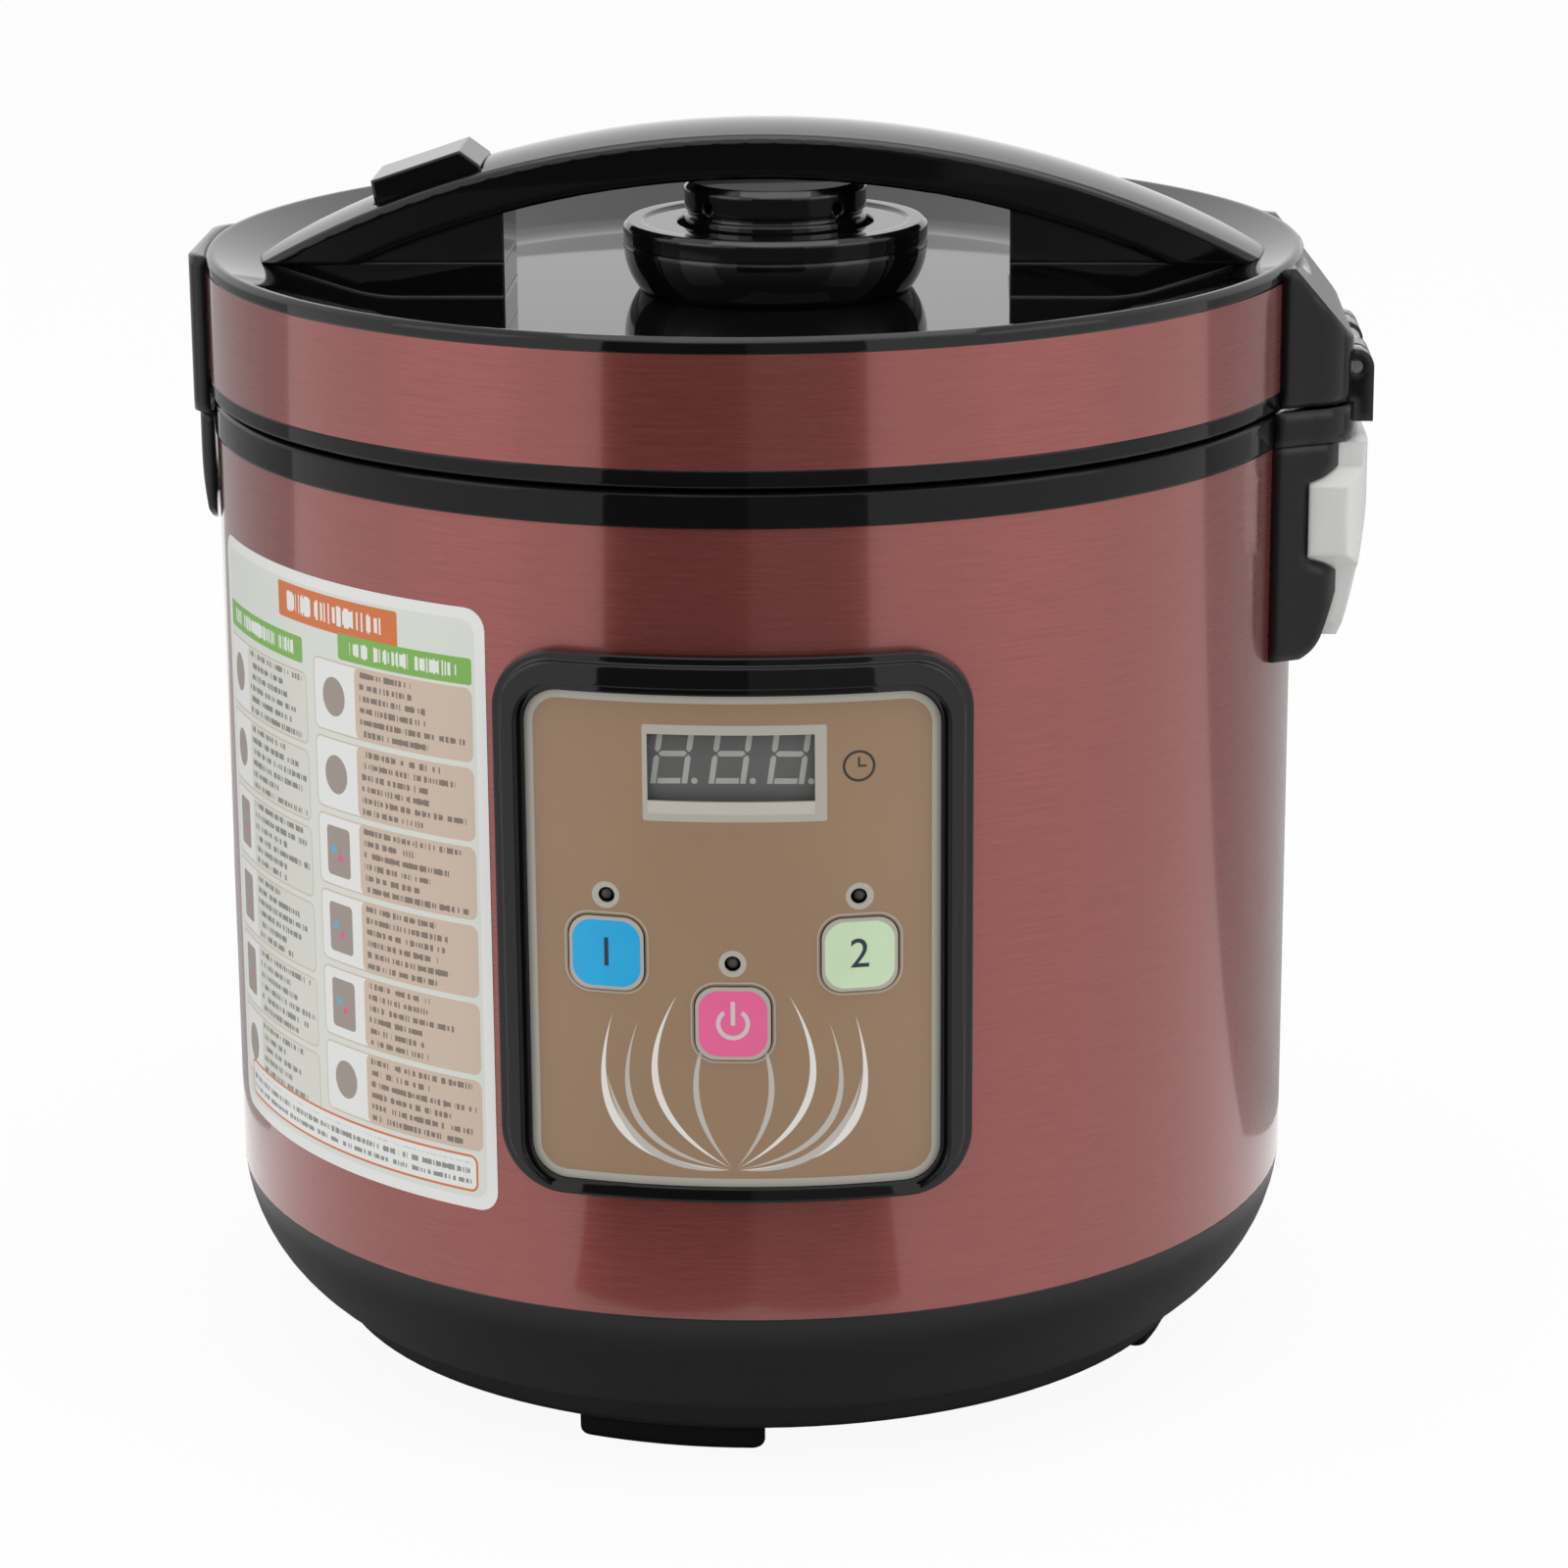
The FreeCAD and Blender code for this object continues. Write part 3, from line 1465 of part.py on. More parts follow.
def catch_plate():
    """Steel strike under the rim, just inboard of the hook's nose."""
    edge = hook_x + hook_thickness / 2 + hook_nose + catch_gap
    half = hook_width / 2
    end = edge + catch_width
    plate = box(edge, end, -half, half, flange_z - catch_sheet, flange_z)
    inboard = box(end - catch_sheet, end, -half, half, flange_z - catch_depth, flange_z)
    return fuse_all([plate, inboard]).cut(disc(shield_radius + seat_gap, 0, flange_z))


def tab_plan(margin, half_width):
    """Plan of the latch side: a flat pad with round corners outside the body."""
    x1 = -(lid_radius + tab_proud + margin)
    return rounded_rect(x1 + tab_depth / 2, 0, tab_depth, 2 * half_width, tab_corner)


def latch_cover():
    """Pad on the lid's edge, over the latch, down past the rim."""
    high = top_z - tab_top_drop
    pad = slab_z(tab_plan(0, tab_half_width), lid_z - lid_gap - tab_drop, high)
    pad = pad.cut(disc(lid_radius + seat_gap, 0, far))
    outer = [e for e in pad.Edges if e.BoundBox.ZMin > high - tab_edge and e.BoundBox.XMax < -lid_radius]
    return pad.makeFillet(tab_edge, outer)


def catch_cover():
    """Pad on the body below the latch, drawn in towards its foot."""
    high = lid_z - lid_gap - tab_drop - moving_gap
    low = high - catch_cover_height
    face = -(lid_radius + tab_proud - catch_cover_step)
    side_y = tab_half_width
    heel_y = side_y - catch_cover_heel_inset
    pad = slab_z(tab_plan(-catch_cover_step, side_y - catch_cover_inset), low, high)
    side = slab_y([
        (face, high),
        (-body_radius / 2, high),
        (-body_radius / 2, low),
        (-body_radius, low),
        ((face + catch_cover_inset, low + catch_cover_waist), (face, high - catch_cover_chest)),
    ], -far, far)
    front = slab_x([
        (-side_y, high),
        (-side_y, low + catch_cover_hip),
        ((-heel_y, low + catch_cover_heel), (-catch_cover_flat, low)),
        (catch_cover_flat, low),
        ((heel_y, low + catch_cover_heel), (side_y, low + catch_cover_hip)),
        (side_y, high),
    ], -far, 0)
    return pad.common(side).common(front).cut(disc(body_radius + body_ring_proud + seat_gap, 0, far))


def vent_collar():
    """Flared collar round the steam vent, with a seam round its side and a raised border on top."""
    top = plate_z + vent_collar_height
    floor_z = top - vent_border_drop
    wide_z = plate_z + vent_wide_at * vent_collar_height
    seam_z = wide_z + vent_seam
    flare_z = plate_z + vent_flare_at * vent_collar_height
    flare = vent_neck_radius + vent_flare * (vent_collar_radius - vent_neck_radius)
    return turned([
        (vent_passage, plate_z),
        (vent_neck_radius, plate_z),
        ((flare, flare_z), (vent_collar_radius, wide_z)),
        (vent_collar_radius - vent_seam, seam_z),
        (vent_collar_radius, seam_z + vent_seam),
        (vent_collar_radius, top - vent_bevel),
        (vent_top_radius, top),
        (vent_collar_radius - vent_border, top),
        (vent_collar_radius - vent_border - vent_border_drop, floor_z),
        (vent_bore_radius, floor_z),
        (vent_bore_radius, plate_z + vent_floor),
        (vent_passage, plate_z + vent_floor),
    ], vent_x)


def vent_seal():
    """Rubber ring that grips the cap in the collar."""
    low = plate_z + vent_floor
    inner = vent_passage + vent_seal_ledge
    outer = vent_bore_radius - seat_gap
    grip = vent_cap_radius - vent_cap_neck + seat_gap
    return turned([
        (inner, low),
        (outer, low),
        (outer, low + vent_seal_height),
        (grip, low + vent_seal_height),
        (grip, low + vent_seal_foot),
        (inner, low + vent_seal_foot),
    ], vent_x)


def vent_cap():
    """Round steam cap with a groove near its foot and side ports."""
    foot = plate_z + vent_floor + vent_seal_foot
    top = handle_crown - handle_thickness - vent_cap_top_gap
    r = vent_cap_radius
    neck = r - vent_cap_neck
    inside = vent_passage - vent_cap_wall
    groove = r - vent_groove_depth
    low = plate_z + vent_collar_height + vent_groove_lift
    high = low + vent_groove_height
    slant = vent_groove_depth / 2
    cap = turned([
        (inside, foot),
        (neck, foot),
        (neck, foot + vent_seal_foot),
        (r, foot + vent_cap_neck_height),
        (r, low),
        (groove, low + slant),
        (groove, high - slant),
        (r, high),
        (r, top - vent_cap_edge),
        (r - vent_cap_edge, top),
        (0, top),
        (0, top - vent_cap_wall),
        (inside, top - vent_cap_wall),
    ], vent_x)
    port_z = top - vent_port_drop
    for k in range(vent_port_count):
        place = polar(r, 360.0 * (k + 0.5) / vent_port_count)
        end = Vector(vent_x + place.x, place.y, port_z)
        cap = cap.cut(rod(Vector(vent_x, 0, port_z), end, vent_port_radius))
    return cap


makers = [
    base_bowl, base_plate, base_screws, feet, outer_shell, upper_ring, heat_shield, inner_pot,
    heating_plate, heating_element, sensor_guide, sensor_cap, sensor_spring,
    panel_bezel, panel_overlay, display_window, display_module, control_board, tact_switches, indicator_lamps,
    power_board, transformer, relay, power_inlet, inlet_pins,
    hinge_bracket, hinge_column, hinge_pin, hinge_spring, water_collector, catch_plate, catch_cover,
    lid_top, lid_band, lid_lower_ring, lid_liner, inner_lid, lid_gasket, inner_lid_knob,
    handle_arch, handle_screws, vent_collar, vent_seal, vent_cap, lid_hinge_cover,
    latch_cover, latch_pin, latch_spring, latch_lever, release_button,
]
pieces = {make.__name__: make for make in makers}
for key in key_places():
    pieces[key] = lambda key=key: push_key(key)

os.makedirs("parts", exist_ok=True)
for name, make in pieces.items():
    shape = make()
    shape.exportStep(os.path.join("parts", name + ".step"))
    state = "valid" if shape.isValid() else "NOT VALID"
    print(name, len(shape.Solids), "solids", round(shape.Volume / 1000, 2), "cm3", state)
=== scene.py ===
"""Looks for the countertop fermenter: finishes for its CAD nodes, its prints, and the studio round it."""
import bmesh
import bpy
import json
import math
from mathutils import Matrix, Vector


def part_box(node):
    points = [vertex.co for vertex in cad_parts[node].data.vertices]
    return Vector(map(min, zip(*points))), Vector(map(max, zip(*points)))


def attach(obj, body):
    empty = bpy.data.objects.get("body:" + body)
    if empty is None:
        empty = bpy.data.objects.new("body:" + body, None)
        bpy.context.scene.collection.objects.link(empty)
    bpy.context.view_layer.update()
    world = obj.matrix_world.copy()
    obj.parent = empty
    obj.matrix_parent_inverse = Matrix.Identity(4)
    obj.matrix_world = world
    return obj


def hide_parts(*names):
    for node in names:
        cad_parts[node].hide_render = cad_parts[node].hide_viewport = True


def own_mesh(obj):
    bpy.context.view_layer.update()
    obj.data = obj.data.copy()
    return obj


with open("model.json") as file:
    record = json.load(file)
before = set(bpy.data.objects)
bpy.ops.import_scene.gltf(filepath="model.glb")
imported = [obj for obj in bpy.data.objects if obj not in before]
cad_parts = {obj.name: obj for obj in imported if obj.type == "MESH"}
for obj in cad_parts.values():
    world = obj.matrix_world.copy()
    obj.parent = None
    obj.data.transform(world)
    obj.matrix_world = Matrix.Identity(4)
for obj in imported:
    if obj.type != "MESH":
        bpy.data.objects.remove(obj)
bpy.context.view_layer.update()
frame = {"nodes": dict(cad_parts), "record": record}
nodes = frame["nodes"]

mm = 0.001
weld = 1e-6
edge_samples = 8
shell_low, shell_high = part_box("outer_shell")
body_radius = shell_high.x
overlay_low, overlay_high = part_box("panel_overlay")
pane_low, pane_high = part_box("display_window")
pane_flange = 1.8 * mm
window_half_x = (pane_high.x - pane_low.x) / 2 - pane_flange
window_half_z = (pane_high.z - pane_low.z) / 2 - pane_flange
window_z = (pane_high.z + pane_low.z) / 2


# Node helpers

class Finish:
    """A node tree under construction: short ways to add nodes and to join them."""

    def __init__(self, tree):
        self.tree = tree

    def add(self, kind, inputs=None, **settings):
        node = self.tree.nodes.new(kind)
        for name, value in settings.items():
            setattr(node, name, value)
        for name, value in (inputs or {}).items():
            self.put(node.inputs[name], value)
        return node

    def put(self, socket, value):
        """Links a socket to another one, or sets its value."""
        if isinstance(value, bpy.types.NodeSocket):
            self.tree.links.new(value, socket)
        elif socket.type == "RGBA" and len(value) == 3:
            socket.default_value = (*value, 1.0)
        else:
            socket.default_value = value

    def math(self, operation, first, second=0.0, third=0.0):
        node = self.add("ShaderNodeMath", operation=operation)
        for socket, value in zip(node.inputs, (first, second, third)):
            self.put(socket, value)
        return node.outputs[0]

    def mix(self, share, below, above):
        """Colour mix: the second colour lies over the first by the share."""
        node = self.add("ShaderNodeMix", data_type="RGBA")
        self.put(node.inputs[0], share)
        self.put(node.inputs[6], below)
        self.put(node.inputs[7], above)
        return node.outputs[2]

    def span(self, value, low, high, to_low=0.0, to_high=1.0):
        """Carries a value from one range over to another, and holds it at the ends."""
        node = self.add("ShaderNodeMapRange")
        for name, given in zip(("Value", "From Min", "From Max", "To Min", "To Max"),
                               (value, low, high, to_low, to_high)):
            self.put(node.inputs[name], given)
        return node.outputs[0]

    def noise(self, vector, scale, detail=2.0, roughness=0.5):
        inputs = {"Vector": vector, "Scale": scale, "Detail": detail, "Roughness": roughness}
        return self.add("ShaderNodeTexNoise", inputs).outputs[0]

    def chance(self, vector):
        """A value between zero and one that has nothing to do with its neighbours'."""
        return self.add("ShaderNodeTexWhiteNoise", {"Vector": vector}).outputs[0]

    def place(self):
        return self.add("ShaderNodeTexCoord").outputs["Object"]

    def axes(self):
        """The object's own x, y and z."""
        return self.add("ShaderNodeSeparateXYZ", {0: self.place()}).outputs

    def vector(self, x, y, z):
        return self.add("ShaderNodeCombineXYZ", {0: x, 1: y, 2: z}).outputs[0]

    def use(self, group, **inputs):
        """Places a shared effect; an underscore in an input's name stands for a space."""
        node = self.add("ShaderNodeGroup", node_tree=group)
        for name, value in inputs.items():
            self.put(node.inputs[name.replace("_", " ")], value)
        return node.outputs


def new_group(name, inputs, outputs):
    """An empty node group with float or colour sockets; returns it with its ends."""
    group = bpy.data.node_groups.new(name, "ShaderNodeTree")
    kinds = {"f": "NodeSocketFloat", "c": "NodeSocketColor"}
    for direction, sockets in (("INPUT", inputs), ("OUTPUT", outputs)):
        for title, kind in sockets.items():
            group.interface.new_socket(title, in_out=direction, socket_type=kinds[kind])
    finish = Finish(group)
    start = finish.add("NodeGroupInput").outputs
    end = finish.add("NodeGroupOutput").inputs
    return group, finish, start, end


def new_material(name):
    """A material with its principled shader; returns it, its builder and the shader's inputs."""
    material = bpy.data.materials.new(name)
    material.use_nodes = True
    finish = Finish(material.node_tree)
    shader = material.node_tree.nodes["Principled BSDF"]
    return material, finish, shader.inputs


def bumped(finish, height, strength, distance, edge=0.0):
    """Normal with a fine relief, and with softened edges where an edge radius is given."""
    inputs = {"Height": height, "Strength": strength, "Distance": distance}
    if edge:
        inputs["Normal"] = finish.add("ShaderNodeBevel", {"Radius": edge}, samples=edge_samples).outputs[0]
    return finish.add("ShaderNodeBump", inputs).outputs[0]


# Shared effects

def make_wrapped():
    """Place on the drum: arc length from the front and height, both in metres."""
    group, finish, start, end = new_group("drum_place", {}, {"Arc": "f", "Height": "f"})
    x, y, z = finish.axes()
    turn = finish.math("ARCTAN2", x, finish.math("MULTIPLY", y, -1.0))
    finish.put(end["Arc"], finish.math("MULTIPLY", turn, body_radius))
    finish.put(end["Height"], z)
    return group


def make_grain():
    """Moulded surface: slow tone and gloss changes and a fine height."""
    inputs = {"Colour": "c", "Tone": "f", "Roughness": "f", "Smudge": "f",
              "Patch Scale": "f", "Grain Scale": "f"}
    outputs = {"Colour": "c", "Roughness": "f", "Height": "f"}
    group, finish, start, end = new_group("moulded_grain", inputs, outputs)
    grain_share = 0.5
    both_mean = (1.0 + grain_share) / 2
    place = finish.place()
    patch = finish.noise(place, start["Patch Scale"], detail=3.0)
    grain = finish.noise(place, start["Grain Scale"], detail=2.0)
    both = finish.math("ADD", patch, finish.math("MULTIPLY", grain, grain_share))
    centred = finish.math("SUBTRACT", both, both_mean)
    value = finish.math("MULTIPLY_ADD", centred, start["Tone"], 1.0)
    tint = finish.add("ShaderNodeHueSaturation", {"Color": start["Colour"], "Value": value})
    finish.put(end["Colour"], tint.outputs[0])
    finish.put(end["Roughness"], finish.math("MULTIPLY_ADD", centred, start["Smudge"], start["Roughness"]))
    finish.put(end["Height"], grain)
    return group


def make_streaks():
    """Brushed sheet: long fine streaks round the drum, over broader ones."""
    group, finish, start, end = new_group("brush_streaks", {"Length": "f", "Fineness": "f"}, {"Streak": "f"})
    broad_stretch = 0.35
    broad_width = 6.0
    broad_offset = 3.0
    broad_share = 0.4
    arc, height = finish.use(drum_place)
    along = finish.math("DIVIDE", arc, start["Length"])
    up = finish.math("DIVIDE", height, start["Fineness"])
    fine = finish.noise(finish.vector(along, 0.0, up), 1.0, detail=3.0, roughness=0.6)
    broad_along = finish.math("MULTIPLY", along, broad_stretch)
    broad_up = finish.math("DIVIDE", up, broad_width)
    broad = finish.noise(finish.vector(broad_along, broad_offset, broad_up), 1.0, detail=2.0)
    both = finish.math("MULTIPLY_ADD", broad, broad_share, finish.math("MULTIPLY", fine, 1.0 - broad_share))
    finish.put(end["Streak"], both)
    return group


def make_patch():
    """Inside mask of a rounded rectangle, with how deep a point lies inside it."""
    inputs = {"X": "f", "Z": "f", "Half Width": "f", "Half Height": "f", "Corner": "f", "Soft": "f"}
    group, finish, start, end = new_group("rounded_patch", inputs, {"Mask": "f", "Depth": "f"})
    reach = []
    for axis, half in (("X", "Half Width"), ("Z", "Half Height")):
        room = finish.math("SUBTRACT", start[half], start["Corner"])
        reach.append(finish.math("SUBTRACT", finish.math("ABSOLUTE", start[axis]), room))
    outer = [finish.math("MAXIMUM", value, 0.0) for value in reach]
    far = finish.math("SQRT", finish.math("ADD", *[finish.math("POWER", value, 2.0) for value in outer]))
    near = finish.math("MINIMUM", finish.math("MAXIMUM", *reach), 0.0)
    depth = finish.math("SUBTRACT", start["Corner"], finish.math("ADD", far, near))
    finish.put(end["Depth"], depth)
    finish.put(end["Mask"], finish.span(depth, 0.0, start["Soft"]))
    return group


def make_ring():
    """Mask of a ring, or of a disc where the inner radius is below zero."""
    inputs = {"X": "f", "Z": "f", "Inner": "f", "Outer": "f", "Soft": "f"}
    group, finish, start, end = new_group("ring_mark", inputs, {"Mask": "f"})
    radius = finish.math("SQRT", finish.math("ADD", finish.math("POWER", start["X"], 2.0),
                                             finish.math("POWER", start["Z"], 2.0)))
    within = finish.span(finish.math("SUBTRACT", start["Outer"], radius), 0.0, start["Soft"])
    beyond = finish.span(finish.math("SUBTRACT", radius, start["Inner"]), 0.0, start["Soft"])
    finish.put(end["Mask"], finish.math("MULTIPLY", within, beyond))
    return group


def make_leaf():
    """Mask of one curved stroke of a leaf that starts at a point and points along an angle."""
    inputs = {"X": "f", "Z": "f", "Angle": "f", "Length": "f", "Width": "f", "Hollow": "f", "Soft": "f"}
    group, finish, start, end = new_group("leaf_stroke", inputs, {"Mask": "f"})
    bulge_gain = 4.0
    sine = finish.math("SINE", start["Angle"])
    cosine = finish.math("COSINE", start["Angle"])
    along = finish.math("MULTIPLY_ADD", start["X"], sine, finish.math("MULTIPLY", start["Z"], cosine))
    across = finish.math("SUBTRACT", finish.math("MULTIPLY", start["X"], cosine),
                         finish.math("MULTIPLY", start["Z"], sine))
    share = finish.math("DIVIDE", along, start["Length"])
    bulge = finish.math("MULTIPLY", share, finish.math("SUBTRACT", 1.0, share))
    edge = finish.math("MULTIPLY", finish.math("MULTIPLY", bulge, bulge_gain), start["Width"])
    within = finish.span(finish.math("SUBTRACT", edge, across), 0.0, start["Soft"])
    inner = finish.math("MULTIPLY", edge, start["Hollow"])
    beyond = finish.span(finish.math("SUBTRACT", across, inner), 0.0, start["Soft"])
    finish.put(end["Mask"], finish.math("MULTIPLY", within, beyond))
    return group


def make_words():
    """Mask of broken lines of print: rows of short strokes with gaps, no letters."""
    inputs = {"X": "f", "Z": "f", "Pitch": "f", "Word": "f", "Stroke": "f", "Seed": "f"}
    group, finish, start, end = new_group("printed_lines", inputs, {"Mask": "f", "Line": "f"})
    word_gap = 0.37
    stroke_gap = 0.3
    least_half, most_half = 0.15, 0.29
    line = finish.math("DIVIDE", start["Z"], start["Pitch"])
    off_middle = finish.math("ABSOLUTE", finish.math("SUBTRACT", finish.math("FRACT", line), 0.5))
    number = finish.math("FLOOR", line)
    spot = finish.vector(finish.math("DIVIDE", start["X"], start["Word"]), number, start["Seed"])
    words = finish.math("GREATER_THAN", finish.noise(spot, 1.0, detail=0.0), word_gap)
    stroke = finish.math("FLOOR", finish.math("DIVIDE", start["X"], start["Stroke"]))
    drawn = finish.chance(finish.vector(stroke, number, start["Seed"]))
    stripe = finish.math("LESS_THAN", off_middle, finish.span(drawn, 0.0, 1.0, least_half, most_half))
    strokes = finish.math("MULTIPLY", stripe, finish.math("GREATER_THAN", drawn, stroke_gap))
    finish.put(end["Mask"], finish.math("MULTIPLY", words, strokes))
    finish.put(end["Line"], number)
    return group


def outlined(finish, depth, thickness):
    """Mask of the line that runs just inside an edge."""
    return finish.math("MULTIPLY", finish.span(depth, 0.0, soft_edge),
                       finish.span(depth, thickness, thickness - soft_edge))


def shifted(finish, where, middle):
    """Place on a flat print, measured from a point of it."""
    return [finish.math("SUBTRACT", place, start) for place, start in zip(where, middle)]


def rounded(finish, where, middle, half, corner):
    """Rounded rectangle round a point of a flat print: its mask, and how deep a place lies inside it."""
    x, z = shifted(finish, where, middle)
    return finish.use(rounded_patch, X=x, Z=z, Half_Width=half[0], Half_Height=half[1], Corner=corner,
                      Soft=soft_edge)


def ringed(finish, where, middle, inner, outer):
    """Mask of a ring round a point of a flat print, or of a disc where it has no hole."""
    x, z = shifted(finish, where, middle)
    return finish.use(ring_mark, X=x, Z=z, Inner=inner, Outer=outer, Soft=soft_edge)["Mask"]


no_hole = -1.0
soft_edge = 0.12 * mm
relief = 0.05 * mm
drum_place = make_wrapped()
moulded_grain = make_grain()
brush_streaks = make_streaks()
rounded_patch = make_patch()
ring_mark = make_ring()
leaf_stroke = make_leaf()
printed_lines = make_words()


# Finishes

def moulded(name, colour, roughness, tone=0.3, smudge=0.08, patch=25.0, grain=2500.0, bump=0.05,
            metallic=0.0, specular=0.5, edge=0.0):
    """Plastic, rubber or plain metal with moulded grain."""
    material, finish, shader = new_material(name)
    out = finish.use(moulded_grain, Colour=colour, Tone=tone, Roughness=roughness, Smudge=smudge,
                     Patch_Scale=patch, Grain_Scale=grain)
    finish.put(shader["Base Color"], out["Colour"])
    finish.put(shader["Roughness"], out["Roughness"])
    finish.put(shader["Normal"], bumped(finish, out["Height"], bump, relief, edge))
    shader["Metallic"].default_value = metallic
    shader["Specular IOR Level"].default_value = specular
    return material


def gloss_black(name, specular, edge=1.0 * mm):
    """Polished black moulding with softened edges."""
    return moulded(name, (0.0035, 0.0035, 0.0037), roughness=0.045, tone=0.4, smudge=0.03, patch=18.0,
                   grain=260.0, bump=0.012, specular=specular, edge=edge)


def brushed(name, dark, bright, roughness, length, fineness, anisotropy, metallic=1.0, coat=0.0):
    """Metal sheet brushed round the drum's axis, bare or under a tinted lacquer with a clear coat."""
    streak_low, streak_high = 0.3, 0.7
    smoother, rougher = 0.05, 0.07
    material, finish, shader = new_material(name)
    streak = finish.use(brush_streaks, Length=length, Fineness=fineness)[0]
    finish.put(shader["Base Color"], finish.mix(finish.span(streak, streak_low, streak_high), dark, bright))
    finish.put(shader["Roughness"], finish.span(streak, streak_low, streak_high, roughness - smoother,
                                                roughness + rougher))
    finish.put(shader["Normal"], bumped(finish, streak, strength=0.12, distance=0.03 * mm))
    tangent = finish.add("ShaderNodeTangent", direction_type="RADIAL", axis="Z")
    finish.put(shader["Tangent"], tangent.outputs[0])
    shader["Metallic"].default_value = metallic
    shader["Specular IOR Level"].default_value = 0.1
    shader["Coat Weight"].default_value = coat
    shader["Coat Roughness"].default_value = 0.07
    shader["Anisotropic"].default_value = anisotropy
    shader["Anisotropic Rotation"].default_value = 0.25
    return material


def clear_plastic(name, colour, transmission, roughness):
    """Clear moulded cup: milky, with flow lines."""
    material, finish, shader = new_material(name)
    out = finish.use(moulded_grain, Colour=colour, Tone=0.08, Roughness=roughness, Smudge=0.1,
                     Patch_Scale=90.0, Grain_Scale=900.0)
    finish.put(shader["Base Color"], out["Colour"])
    finish.put(shader["Roughness"], out["Roughness"])
    finish.put(shader["Normal"], bumped(finish, out["Height"], strength=0.1, distance=relief, edge=1.2 * mm))
    shader["Transmission Weight"].default_value = transmission
    shader["IOR"].default_value = 1.49
    return material


def smoked_pane():
    """Thin dark pane that the digits show through."""
    material, finish, shader = new_material("smoked_pane")
    out = finish.use(moulded_grain, Colour=(0.03, 0.03, 0.032), Tone=0.2, Roughness=0.06, Smudge=0.05,
                     Patch_Scale=60.0, Grain_Scale=700.0)
    finish.put(shader["Base Color"], out["Colour"])
    finish.put(shader["Roughness"], out["Roughness"])
    shader["Alpha"].default_value = 0.06
    return material


# Prints of the panel and its keys

brown = (0.290, 0.185, 0.108)
silver = (0.40, 0.38, 0.33)
pale_silver = (0.48, 0.455, 0.40)
print_white = (0.72, 0.70, 0.66)
print_grey = (0.47, 0.44, 0.40)
power_tint = (0.58, 0.50, 0.50)
ink = (0.03, 0.028, 0.026)
# Strokes of the leaf fan: turn in degrees, length and width in mm, hollow share, tint
leaf_strokes = ((8.0, 34.0, 6.5, 0.78, print_grey), (16.0, 43.0, 12.0, 0.86, print_white),
                (30.0, 41.0, 13.5, 0.88, print_grey), (36.0, 45.0, 16.0, 0.87, print_white),
                (52.0, 36.0, 9.0, 0.80, print_grey))
fan_lift = 4.0 * mm
film_corner = 7.9 * mm
film_border = 2.0 * mm
border_soft = 0.15 * mm
window_frame_side = 0.75 * mm
window_frame_drop = 1.2 * mm
window_frame_half = (20.1 * mm, 10.9 * mm)
window_frame_corner = 0.6 * mm
ledge_drop = 1.5 * mm
ledge_half_height = 1.4 * mm
ledge_corner = 0.3 * mm
key_ring_gap = 1.1 * mm
key_ring_corner = 5.7 * mm
key_ring_line = 0.45 * mm
lamp_rise = {"key_left": 13.2 * mm, "key_right": 13.2 * mm, "key_power": 13.6 * mm}
lamp_ring = 3.1 * mm
clock_gap = 9.5 * mm
clock_ring = (2.9 * mm, 3.6 * mm)
# Hands of the clock: their middle and their half sizes
clock_hands = (((0.0, 0.9 * mm), (0.3 * mm, 1.2 * mm)), ((0.75 * mm, 0.0), (1.0 * mm, 0.3 * mm)))
mark_corner = 0.2 * mm
key_outline = 0.65 * mm
key_corner = 4.6 * mm
power_ring = (2.7 * mm, 3.8 * mm)
power_gap = (0.62, 0.67)
power_bar_rise = 2.4 * mm
power_bar_half = (0.55 * mm, 2.8 * mm)


def key_face(node):
    """Middle (x, z) and half width of a key."""
    low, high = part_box(node)
    return ((low.x + high.x) / 2, (low.z + high.z) / 2), (high.x - low.x) / 2


